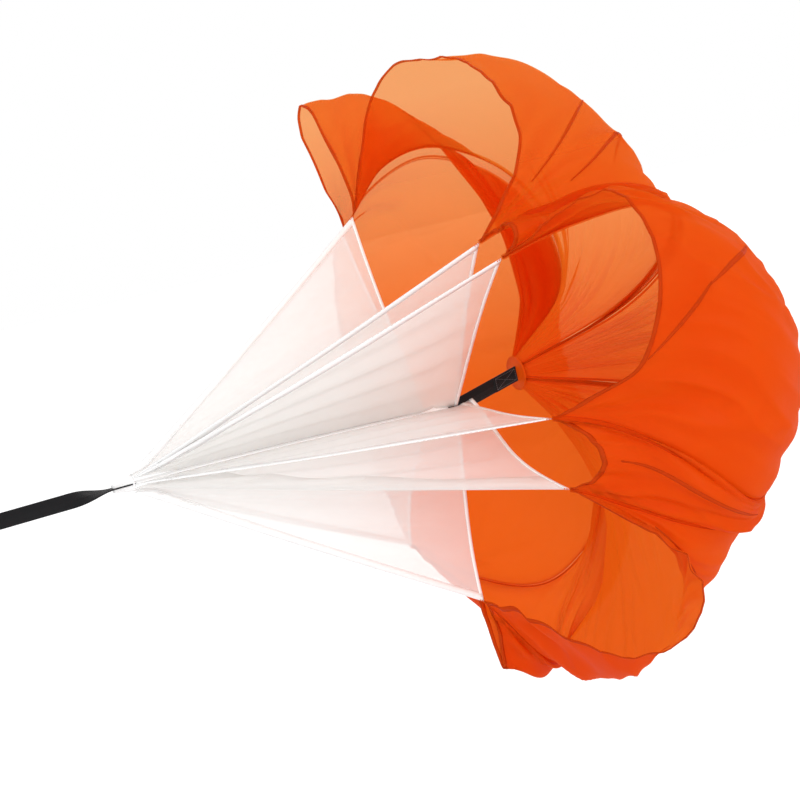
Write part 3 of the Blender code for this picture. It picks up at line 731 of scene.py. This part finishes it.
def fin_place(k):
    """A fin's surface: across goes from the strap to the outer edge, and along from the apex to the foot."""
    reach = RING_RADIUS * CORNER_REACH_SHARES[k]
    outer = Vector((mouth_setback(reach, 1) - CLOTH / 2 - GAP, reach))
    side = 1 if k % 2 else -1
    start = KEEPER_END - APEX_X + GAP
    end = FIN_FOOT * FOOT_SHARES[k]
    cut = RING_RADIUS * FOOT_CUT_SHARES[k]

    def place(across, along):
        setback = start + (end - start) * along
        seat = strap_reach(CORNER_TURNS[k], setback) + FIN_THICK / 2 + GAP
        seat = FIN_INNER + (seat - FIN_INNER) * min(1, FIN_SEAT_RISE * along)
        inner = Vector((setback, seat))
        edge_reach = FIN_INNER + CLOTH + (outer.y - FIN_INNER - CLOTH) * along
        edge = Vector((start + (outer.x - start) * along, edge_reach))
        spot = inner.lerp(edge, across)
        spot.x -= cut * math.sin(math.pi * across ** FOOT_CUT_POWER) * along ** EDGE_POWER
        bulge = side * FIN_BILLOW * math.sin(math.pi * across) * math.sin(math.pi * along) * along
        pull = math.sin(math.pi * across) * along * (1 - along ** FIN_FOLD_POWER)
        wave = math.pi * (FIN_FOLDS_ACROSS * across + FIN_FOLDS_ALONG * along) + k
        fold = FIN_FOLD * pull * math.sin(wave)
        turn = CORNER_TURNS[k] + math.degrees((bulge + fold) / max(spot.y, FIN_NARROW))
        spot = round_axis(spot.x, spot.y, turn)
        free = max(0, 1 - math.hypot(spot.y, spot.z) / RING_RADIUS)
        spot.z -= hang_at(spot.x - APEX_X) * free ** HANG_POWER
        return spot

    return place


def lengths(place, samples=SAMPLES):
    """A surface's middling width, its longest run along, and its area."""
    spots = [[place(a / samples, b / samples) for a in range(samples + 1)] for b in range(samples + 1)]
    across = sum(sum((q - p).length for p, q in zip(row, row[1:])) for row in spots) / len(spots)
    along = max(sum((q - p).length for p, q in zip(row, row[1:])) for row in zip(*spots))
    area = 0
    for low, high in zip(spots, spots[1:]):
        for a, b, c, d in zip(low, low[1:], high, high[1:]):
            area += ((b - a).cross(c - a).length + (c - d).cross(b - d).length) / 2
    return across, along, area


for k, name in enumerate(FIN_NAMES):
    place = fin_place(k)
    width, length, area = lengths(place)
    fin = laid("fin_" + name + "_cloth", FIN_STEPS, (width, length), place, FIN_THICK, white_nylon)
    edge_hem = FIN_HEM * FIN_HEM_SHARES[k]
    edge_finish = white_hem if FIN_HEM_SHARES[k] == 1 else white_nylon
    edge_share = edge_hem / width
    foot_share = FIN_HEM / length

    def outer_hem(across, along, place=place, share=edge_share):
        hem = min(HEM_WIDEST_SHARE, share / max(HEM_POINT_SHARE, along))
        return place(1 - hem * across, along)

    def foot_hem(across, along, place=place, share=foot_share):
        return place(along, 1 - share * across)

    hems = [laid("fin_" + name + "_outer_hem", FIN_HEM_STEPS, (edge_hem, length), outer_hem,
                 FIN_HEM_THICK, edge_finish),
            laid("fin_" + name + "_foot_hem", FOOT_HEM_STEPS, (FIN_HEM, width), foot_hem,
                 FIN_HEM_THICK, white_hem)]
    for piece in [fin] + hems:
        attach(piece, "chute")
    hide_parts("fin_" + name)


# Centre strap
# The same black webbing as the tether. It runs from the apex between the fins to the crown, and its end is
# folded back on itself and sewn down with a box and a cross.
PATCH_THICK = 0.0012
STRAP_END = APEX_X + CROWN_SETBACK - PATCH_THICK / 2 - GAP
STRAP_STEPS = (6, 180)
FOLD_LENGTH = 0.046
FOLD_STEPS = (6, 12)


def strap_place(across, along):
    side = (across - 0.5) * TETHER_WIDTH
    x = KEEPER_END + GAP + along * (STRAP_END - KEEPER_END - GAP)
    angle = math.radians(strap_lies(x - APEX_X))
    return Vector((x, side * math.sin(angle), side * math.cos(angle) - hang_at(x - APEX_X)))


strap_length = STRAP_END - KEEPER_END
strap = laid("centre_strap_webbing", STRAP_STEPS, (TETHER_WIDTH, strap_length), strap_place, WEBBING,
             strap_black)
soft_edges(strap, ROUNDED_SHARE * WEBBING)
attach(strap, "chute")
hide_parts("centre_strap")


def fold_back(across, along):
    spot = strap_place(across, 1 - FOLD_LENGTH / strap_length * (1 - along))
    return spot - Vector((0, WEBBING + GAP, 0))


strap_fold = laid("centre_strap_fold", FOLD_STEPS, (TETHER_WIDTH, FOLD_LENGTH), fold_back, WEBBING,
                  strap_black)
soft_edges(strap_fold, ROUNDED_SHARE * WEBBING)
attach(strap_fold, "chute")
fold_level = -(WEBBING / 2 + GAP + WEBBING)
fold_edge = TETHER_WIDTH / 2 - LOOP_MARGIN
fold_low = (STRAP_END - FOLD_LENGTH + LOOP_MARGIN, -fold_edge)
fold_high = (STRAP_END - LOOP_MARGIN, fold_edge)
fold_rows = []
for start, end, face in box_cross(fold_low, fold_high, fold_level, (0, -1, 0)):
    start[2] -= hang_at(start[0] - APEX_X)
    end[2] -= hang_at(end[0] - APEX_X)
    fold_rows.append((start, end, face))
stitched("centre_strap_stitches", fold_rows, thread_grey, "chute")


# Strap binding
# White nylon folded round the strap from the apex to the feet of the fins. The fins' inner edges are sewn
# to it.
BINDING_CLEAR = 0.0012
BINDING_THICK = 0.0006
BINDING_END_SHARE = 0.97
BINDING_STEPS = (32, 120)


def binding_place(across, along):
    start = KEEPER_END - APEX_X + GAP
    setback = start + along * (BINDING_END_SHARE * FIN_FOOT - start)
    lies = math.radians(strap_lies(setback))
    turn = 2 * math.pi * across
    wide = (TETHER_WIDTH / 2 + BINDING_CLEAR) * math.cos(turn)
    deep = (WEBBING / 2 + BINDING_CLEAR) * math.sin(turn)
    return Vector((APEX_X + setback, wide * math.sin(lies) + deep * math.cos(lies),
                   wide * math.cos(lies) - deep * math.sin(lies) - hang_at(setback)))


width, length, area = lengths(binding_place)
binding = laid("centre_strap_binding", BINDING_STEPS, (width, length), binding_place, BINDING_THICK,
               white_hem)
weld(binding)
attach(binding, "chute")


# Canopy panels
# Orange ripstop nylon, cut as four wide lobes and four narrow gores between them. The air fills each one,
# and creases run from the corners, where the fins hold the mouth, over the cloth toward the crown.
CROWN_HOLE = 0.022
BACK_SETBACK = 1.0
SEAM_GAP = 0.0018
FULLNESS_POWER = 0.55
TURN_SHARE = 0.4
CORNER_SWELL_SHARES = (1.08, 1.05, 0.97, 0.98, 1.2, 1.16, 1.14, 1.02)
SEAM_TURNS = (-37, -32, 52, 56, 116, 121, 196, 206)
# Points of each panel's mouth between its corners: a turn in degrees and a share of the ring's radius.
MOUTH_SHARES = {
    "gore_upper_far": ((-41.5, 1.35), (-41, 1.68), (-38.5, 1.82), (-35, 1.76), (-32.5, 1.48), (-30, 1.18)),
    "lobe_top": ((-30, 1.33), (-28, 1.56), (-17, 1.59), (-4, 1.53), (8, 1.5), (20, 1.47), (30, 1.43),
                 (38, 1.34), (43, 1.19)),
    "gore_upper_near": ((48, 1.06), (51, 1.1), (53, 1.07)),
    "lobe_near": ((54.5, 1.25), (56, 1.45), (60, 1.54), (65, 1.56), (70, 1.56), (76, 1.52), (82, 1.45),
                  (88, 1.34), (91.5, 1.18)),
    "gore_lower_near": ((100, 1.1), (105, 1.16), (110, 1.12)),
    "lobe_bottom": ((118, 1.28), (120.5, 1.47), (126, 1.58), (135, 1.59), (144, 1.53), (152, 1.42),
                    (160, 1.25), (169, 1.07)),
    "gore_lower_far": ((182, 1.13), (184, 1.28), (186.5, 1.38), (187, 1.27), (186.5, 1.1), (190, 0.97),
                       (204, 0.93)),
    "lobe_far": ((229, 1.16), (242, 1.28), (258, 1.32), (275, 1.3), (292, 1.25), (308, 1.16)),
}
# How far a panel's mouth leans, its depth, its swell, how much it fills and where it is fullest.
FORM_SHARES = {
    "gore_upper_far": (0.3, 0.6, 1.2, 0.75, 0.5),
    "lobe_top": (1, 0.78, 0.9, 1, 0.48),
    "gore_upper_near": (1, 0.85, 0.9, 0.3, 0.5),
    "lobe_near": (1, 1, 1.02, 1, 0.6),
    "gore_lower_near": (1, 0.8, 1.05, 0.4, 0.5),
    "lobe_bottom": (1, 0.6, 0.92, 1, 0.6),
    "gore_lower_far": (0.35, 0.72, 0.95, 0.8, 0.4),
    "lobe_far": (1, 0.85, 0.82, 0.9, 0.5),
}
# Depth and reach of a seam and of a full lobe, from the mouth to the crown.
SEAM_SHARES = ((0.26, 1.18), (0.55, 1.24), (0.8, 1.04), (0.88, 0.7), (0.76, 0.34))
LOBE_SHARES = ((0.53, 1.63), (0.8, 1.46), (0.97, 1.08), (1.0, 0.66), (0.82, 0.3))
PANEL_STEPS = {"lobe": (140, 100), "gore": (40, 90)}
CORNER_FOLD = 0.006
CORNER_FOLD_SPREAD = 0.11
CORNER_FOLDS = 9
CORNER_FAN_SHARES = {"lobe": 1.6, "gore": 0.6}
CREASE = 0.007
CREASE_SCALE = 7
CREASE_ACROSS_SHARES = {"lobe": 1.8, "gore": 0.9}
CREASE_ALONG_SHARE = 0.7
CREASE_LEVEL_SHARE = 0.6
CREASE_BROAD_SHARE = 0.45
CREASE_APART = 10
CROWN_FOLD = 0.0012
CROWN_FOLDS = 5
CROWN_FOLD_POWER = 5
CROWN_FOLD_SHARES = {"lobe": 1, "gore": 0.3}
EDGE_RISE = 14
CROWN_RISE = 6
NUDGE = 0.002
FOLD_HEIGHT = 0.005
FOLD_SPREAD = 0.03
# Pleats are strips of the deeper hem finish along a panel's first folds. They are partly doubled cloth and
# partly painted crease shade.
PLEAT = 0.005
PLEAT_THICK = 0.002
PLEAT_STEPS = (2, 48)
PLEAT_END_SHARE = 0.03
PLEATED = {"lobe_top": 2, "lobe_near": 2, "gore_lower_near": 1, "lobe_bottom": 1}
# Each fold's start and end, across and along its panel.
FOLD_SHARES = {
    "gore_upper_far": ((0.2, 0.05, 0.35, 0.4),),
    "lobe_top": ((0.92, 0.07, 0.75, 0.28), (0.97, 0.18, 0.72, 0.5), (0.04, 0.08, 0.3, 0.34),
                 (0.5, 0.6, 0.42, 0.9)),
    "gore_upper_near": ((0.5, 0.05, 0.5, 0.4),),
    "lobe_near": ((0.77, 0.01, 0.59, 0.1), (0.6, 0.095, 0.36, 0.27), (0.97, 0.12, 0.7, 0.42),
                  (0.04, 0.1, 0.24, 0.36), (0.52, 0.3, 0.62, 0.7)),
    "gore_lower_near": ((0.5, 0.03, 0.5, 0.32), (0.9, 0.06, 0.8, 0.3)),
    "lobe_bottom": ((0.05, 0.12, 0.3, 0.34), (0.45, 0.02, 0.4, 0.3), (0.95, 0.1, 0.68, 0.36)),
    "gore_lower_far": ((0.3, 0.04, 0.5, 0.4),),
    "lobe_far": ((0.04, 0.1, 0.34, 0.4), (0.95, 0.12, 0.66, 0.42), (0.5, 0.1, 0.56, 0.5)),
}
ORANGE = (0.74, 0.11, 0.003)
ORANGE_DEEP = (0.69, 0.085, 0.002)
ORANGE_LIT = (1.0, 0.38, 0.05)
ORANGE_THROUGH = (0.98, 0.7, 0.46)
ORANGE_GLOW = 0.58
# Covers from low to high. The orange cloth is most solid low down and sheerest high up, as painted shade
# below and painted sky light above. The hem's covers change less.
ORANGE_COVERS = (0.86, 0.2)
HEM_ORANGE = (0.62, 0.085, 0.005)
HEM_DEEP = (0.56, 0.07, 0.003)
HEM_LIT = (0.88, 0.3, 0.05)
HEM_GLOW = 0.4
HEM_COVERS = (0.7, 0.6)
PANEL_HEM = 0.009
HEM_THICK = 0.0022

orange_nylon = nylon_finish("orange_nylon", ORANGE, ORANGE_DEEP, ORANGE_LIT, ORANGE_GLOW, ORANGE_COVERS,
                            ORANGE_THROUGH)
orange_hem = nylon_finish("orange_nylon_hem", HEM_ORANGE, HEM_DEEP, HEM_LIT, HEM_GLOW, HEM_COVERS,
                          ORANGE_THROUGH, SEWN_CRUMPLE)


def through_knots(points, share):
    """A smooth curve through the points, at a share of the way along it."""
    at = share * (len(points) - 1)
    k = min(int(at), len(points) - 2)
    t = at - k
    a, b = points[k], points[k + 1]
    before = points[k - 1] if k else 2 * a - b
    after = points[k + 2] if k + 2 < len(points) else 2 * b - a
    return 0.5 * (2 * a + (b - before) * t + (2 * before - 5 * a + 4 * b - after) * t * t
                  + (3 * a - before - 3 * b + after) * t * t * t)


def from_shares(depth, reach):
    return Vector((RING_SETBACK + depth * (BACK_SETBACK - RING_SETBACK), reach * RING_RADIUS))


def panel_place(name):
    """A panel without creases: across goes from corner to corner, and along from the mouth to the crown."""
    lean, depth_share, swell_share, most, fullest = FORM_SHARES[name]
    first = list(MOUTH_SHARES).index(name)
    last = (first + 1) % len(CORNER_TURNS)
    whole = 360 if last == 0 else 0
    mouth_points = [Vector((CORNER_TURNS[first], RING_RADIUS * CORNER_REACH_SHARES[first]))]
    mouth_points += [Vector((turn, share * RING_RADIUS)) for turn, share in MOUTH_SHARES[name]]
    mouth_points += [Vector((CORNER_TURNS[last] + whole, RING_RADIUS * CORNER_REACH_SHARES[last]))]
    swell_first, swell_last = CORNER_SWELL_SHARES[first], CORNER_SWELL_SHARES[last]
    seam_first, seam_last = SEAM_TURNS[first], SEAM_TURNS[last] + whole
    crown = Vector((CROWN_SETBACK + PATCH_THICK / 2 + CLOTH / 2 + 2 * GAP, CROWN_HOLE))

    def place(across, along):
        turn, reach = through_knots(mouth_points, across)
        skewed = across ** (math.log(0.5) / math.log(fullest))
        fullness = most * math.sin(math.pi * skewed) ** FULLNESS_POWER if 0 < across < 1 else 0
        edge = abs(2 * across - 1) ** EDGE_POWER
        swell = swell_first + (swell_last - swell_first) * across
        knots = [Vector((mouth_setback(reach, lean + (1 - lean) * edge), reach))]
        for (seam_depth, seam_reach), (depth, lobe_reach) in zip(SEAM_SHARES, LOBE_SHARES):
            seam = from_shares(seam_depth, seam_reach * swell)
            knots.append(seam.lerp(from_shares(depth * depth_share, lobe_reach * swell_share), fullness))
        knots.append(crown)
        setback, out = through_knots(knots, along)
        body_turn = seam_first + (seam_last - seam_first) * across
        turn = turn + (body_turn - turn) * eased(along / TURN_SHARE)
        turn += math.degrees(SEAM_GAP / 2 / out) * (1 - 2 * across)
        return round_axis(setback, out, turn)

    return place


def creased(name, place):
    """The panel with its creases: fans from its two corners, long soft creases, and gathers at the crown."""
    seed = CREASE_APART * list(MOUTH_SHARES).index(name)
    kind = name.split("_")[0]
    corners = (place(0, 0), place(1, 0))
    wide, long, _ = lengths(place)
    crease_across = CREASE_ACROSS_SHARES[kind] * CREASE_SCALE

    def fold_at(across, along):
        """The sharp folds: each is a line on the panel with the cloth raised on both sides of it."""
        total = 0
        spot = Vector((across * wide, along * long))
        for from_across, from_along, to_across, to_along in FOLD_SHARES[name]:
            start = Vector((from_across * wide, from_along * long))
            run = Vector((to_across * wide, to_along * long)) - start
            share = min(1, max(0, (spot - start).dot(run) / run.length_squared))
            near = max(0, 1 - (spot - start - run * share).length / FOLD_SPREAD)
            total += FOLD_HEIGHT * near * near
        return total

    def height(across, along, spot):
        free = min(1, EDGE_RISE * across, EDGE_RISE * (1 - across))
        total = 0
        for side, corner in enumerate(corners):
            away = (spot - corner).length
            inward = across if side == 0 else 1 - across
            fan = math.atan2(along, inward * CORNER_FAN_SHARES[kind])
            strength = away / CORNER_FOLD_SPREAD * math.exp(1 - away / CORNER_FOLD_SPREAD)
            total += CORNER_FOLD * strength * math.sin(CORNER_FOLDS * fan + seed + side)
        long_way = Vector((across * crease_across, along * CREASE_SCALE * CREASE_ALONG_SHARE, seed))
        ridge = 1 - 2 * abs(noise.noise(long_way))
        total += CREASE * (ridge - CREASE_LEVEL_SHARE)
        total += CREASE * noise.noise(long_way * CREASE_BROAD_SHARE)
        gather = CROWN_FOLD * CROWN_FOLD_SHARES[kind] * along ** CROWN_FOLD_POWER
        total += gather * math.sin(2 * math.pi * CROWN_FOLDS * across)
        return (total + fold_at(across, along)) * free * min(1, CROWN_RISE * (1 - along))

    def creased_place(across, along):
        spot = place(across, along)
        side = NUDGE if across < 0.5 else -NUDGE
        end = NUDGE if along < 0.5 else -NUDGE
        over = (place(across + side, along) - spot) * (1 if side > 0 else -1)
        down = (place(across, along + end) - spot) * (1 if end > 0 else -1)
        outward = over.cross(down).normalized()
        return spot + outward * height(across, along, spot)

    return creased_place


def orange_on_chute(piece):
    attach(piece, "chute")


for name in MOUTH_SHARES:
    place = creased(name, panel_place(name))
    width, length, area = lengths(place)
    steps = PANEL_STEPS[name.split("_")[0]]
    panel = laid(name + "_cloth", steps, (width, length), place, CLOTH, orange_nylon)
    share = PANEL_HEM / length

    def mouth_hem(across, along, place=place, share=share):
        return place(along, share * across)

    edges = [laid(name + "_hem", (2, 2 * steps[0]), (PANEL_HEM, width), mouth_hem, HEM_THICK, orange_hem)]
    # Strips of the deeper, more solid hem finish lie along the first folds. They are partly doubled cloth
    # and partly painted shade in the crease.
    for number, fold in enumerate(FOLD_SHARES[name][:PLEATED.get(name, 0)]):
        start = Vector(fold[:2])
        run = Vector(fold[2:]) - start
        run_length = math.hypot(run.x * width, run.y * length)
        turned = Vector((-run.y * length / width, run.x * width / length)) * (PLEAT / run_length)

        def pleat_place(across, along, place=place, start=start, run=run, turned=turned):
            """A pinched line of doubled cloth along a fold, which fades at both ends. Its deeper hem finish
            is partly the doubled cloth and partly painted shade of the crease.
            """
            inside = min(1 - PLEAT_END_SHARE, max(PLEAT_END_SHARE, along))
            fade = math.sqrt(math.sin(math.pi * inside))
            spot = start + run * along + turned * ((across - 0.5) * fade)
            return place(min(1, max(0, spot.x)), min(1, max(0, spot.y)))

        pleat_name = name + "_pleat_crease_shade_" + str(number + 1)
        edges.append(laid(pleat_name, PLEAT_STEPS, (PLEAT, run_length), pleat_place, PLEAT_THICK,
                          orange_hem))
    for piece in [panel] + edges:
        orange_on_chute(piece)
    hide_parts(name)


# Seam tapes
# Each seam between two panels is lapped and covered outside with a narrow tape of the same nylon, from the
# corner of the mouth to the crown.
SEAM_TAPE = 0.0045
TAPE_LIFT = 0.0011
TAPE_THICK = 0.0009
TAPE_CURVE = 0.0006
TAPE_STEPS = (4, 64)
TAPE_SAMPLES = 12
TAPE_AHEAD = 0.01
TAPE_ORANGE = (0.8, 0.14, 0.006)
TAPE_DEEP = (0.74, 0.11, 0.004)
TAPE_LIT = (1.0, 0.5, 0.12)
TAPE_GLOW = 0.65
# The tape is a little more solid low down than high up: painted shade below and painted sky light above.
TAPE_COVERS = (0.4, 0.3)

orange_tape = nylon_finish("orange_nylon_tape", TAPE_ORANGE, TAPE_DEEP, TAPE_LIT, TAPE_GLOW, TAPE_COVERS,
                           ORANGE_THROUGH, SEWN_CRUMPLE)
names = list(MOUTH_SHARES)
for k, name in enumerate(names):
    before = panel_place(names[k - 1])
    after = panel_place(name)
    tape_length = lengths(after, TAPE_SAMPLES)[1]

    def tape_place(across, along, before=before, after=after):
        """From just inside the panel before the seam to just inside the one after it, lifted off both."""
        low = before(1, along)
        high = after(0, along)
        middle = (low + high) / 2
        side = (high - low).normalized()
        ahead = TAPE_AHEAD if along < 0.5 else -TAPE_AHEAD
        down = ((after(0, along + ahead) - high) * (1 if ahead > 0 else -1)).normalized()
        outward = side.cross(down).normalized()
        wide = 2 * across - 1
        lift = TAPE_LIFT + CLOTH / 2 - TAPE_CURVE * wide * wide
        return middle + side * (SEAM_TAPE * wide) + outward * lift

    tape = laid("seam_tape_" + FIN_NAMES[k], TAPE_STEPS, (2 * SEAM_TAPE, tape_length), tape_place,
                TAPE_THICK, orange_tape)
    orange_on_chute(tape)


# Corner tacks
# Bars of orange bonded thread. One on each side of a fin's corner holds it to the seam of the canopy, in
# three rows sewn across the edge of the mouth.
TACK = 0.014
TACK_AHEAD_SHARE = 0.75
TACK_ROWS = 3
TACK_GAP = 0.0011
THREAD_ORANGE = (0.55, 0.08, 0.005)

tack_rows = []
for k, turn in enumerate(CORNER_TURNS):
    reach = RING_RADIUS * CORNER_REACH_SHARES[k]
    corner = round_axis(mouth_setback(reach, 1), reach, turn)
    ahead = (Vector((APEX_X, 0, 0)) - corner).normalized() * TACK
    side = round_axis(0, 1, turn + 90) - Vector((APEX_X, 0, 0))
    apart = side.cross(ahead).normalized() * TACK_GAP
    for face in (side, -side):
        for row in range(TACK_ROWS):
            middle = corner + face * (FIN_HEM_THICK / 2) + apart * (row - (TACK_ROWS - 1) / 2)
            front = middle + ahead * TACK_AHEAD_SHARE
            tack_rows.append((front, front - ahead, face))
thread_orange = thread_finish("orange_bonded_thread", THREAD_ORANGE)
stitched("corner_tacks", tack_rows, thread_orange, "chute")


# Crown patch
# A disc of orange nylon that closes the crown inside the canopy. The eight seams and the strap's end are
# sewn to it.
CROWN_PATCH = 0.03
PATCH_RINGS = 6
PATCH_SPOKES = 64
PATCH_RIPPLE = 0.0003
PATCH_RIPPLES = 8
PATCH_GLOW = 0.4

orange_patch = nylon_finish("orange_nylon_patch", ORANGE, ORANGE_DEEP, ORANGE_LIT, PATCH_GLOW, NOT_SHEER)
shape = bmesh.new()
weave = shape.loops.layers.uv.new("weave")
bmesh.ops.create_circle(shape, cap_ends=True, cap_tris=True, segments=PATCH_SPOKES, radius=CROWN_PATCH)
spokes = [edge for edge in shape.edges if edge.calc_length() > CROWN_PATCH / 2]
bmesh.ops.subdivide_edges(shape, edges=spokes, cuts=PATCH_RINGS, use_grid_fill=True)
for face in shape.faces:
    face.smooth = True
    for corner in face.loops:
        corner[weave].uv = (corner.vert.co.x, corner.vert.co.y)
for corner in shape.verts:
    turn = math.atan2(corner.co.y, corner.co.x)
    corner.co.z = PATCH_RIPPLE * math.sin(PATCH_RIPPLES * turn) * corner.co.xy.length / CROWN_PATCH
bmesh.ops.rotate(shape, matrix=Matrix.Rotation(math.radians(90), 3, "Y"), verts=shape.verts)
bmesh.ops.translate(shape, vec=(APEX_X + CROWN_SETBACK, 0, 0), verts=shape.verts)
patch = made_piece(shape, "crown_patch_cloth", orange_patch)
thickened(patch, PATCH_THICK)
orange_on_chute(patch)
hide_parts("crown_patch")


# Floor and light
# A pale ground as far below the belt as a runner's waist is above it, an even white sky and one broad soft
# light from behind the camera, a little above it and to its right.
WAIST_HEIGHT = 1.0
FLOOR_SIZE = 60
GROUND_PALE = (0.92, 0.92, 0.92, 1)
GROUND_ROUGHNESS = 0.9
GROUND_LIFT = 0.22
WHITE = (1, 1, 1, 1)
SKY_LEVEL = 0.96
SKY_SEEN = 1.0
KEY_STRENGTH = 1.26
KEY_ANGLE = 30
KEY_TURN = (76, 0, -16)


def looked_at(tree):
    """1 for what the camera sees, straight, mirrored or through cloth, and 0 for light on the pieces."""
    rays = tree.nodes.new("ShaderNodeLightPath")
    seen = sums(tree, "MAXIMUM", rays.outputs["Is Camera Ray"], rays.outputs["Is Glossy Ray"])
    return sums(tree, "MAXIMUM", seen, rays.outputs["Is Transmission Ray"])


world = bpy.data.worlds.new("studio")
bpy.context.scene.world = world
world.use_nodes = True
sky = world.node_tree
sky.nodes["Background"].inputs["Color"].default_value = WHITE
wire(sky, ranged(sky, looked_at(sky), SKY_LEVEL, SKY_SEEN), sky.nodes["Background"].inputs["Strength"])

shape = bmesh.new()
bmesh.ops.create_grid(shape, x_segments=2, y_segments=2, size=FLOOR_SIZE / 2)
bmesh.ops.translate(shape, vec=(0, 0, -WAIST_HEIGHT), verts=shape.verts)
pale, tree, matt = new_finish("pale_ground", {"Base Color": GROUND_PALE, "Roughness": GROUND_ROUGHNESS})
lift = tree.nodes.new("ShaderNodeEmission")
lift.inputs["Color"].default_value = WHITE
wire(tree, sums(tree, "MULTIPLY", looked_at(tree), GROUND_LIFT), lift.inputs["Strength"])
both = tree.nodes.new("ShaderNodeAddShader")
wire(tree, matt.outputs["BSDF"], both.inputs[0])
wire(tree, lift.outputs["Emission"], both.inputs[1])
wire(tree, both.outputs["Shader"], tree.nodes["Material Output"].inputs["Surface"])
ground = made_piece(shape, "ground", pale)

key = bpy.data.lights.new("key", "SUN")
key.energy = KEY_STRENGTH
key.angle = math.radians(KEY_ANGLE)
lamp = bpy.data.objects.new("key", key)
lamp.rotation_euler = [math.radians(turn) for turn in KEY_TURN]
bpy.context.scene.collection.objects.link(lamp)

bpy.context.scene.view_settings.view_transform = "Standard"
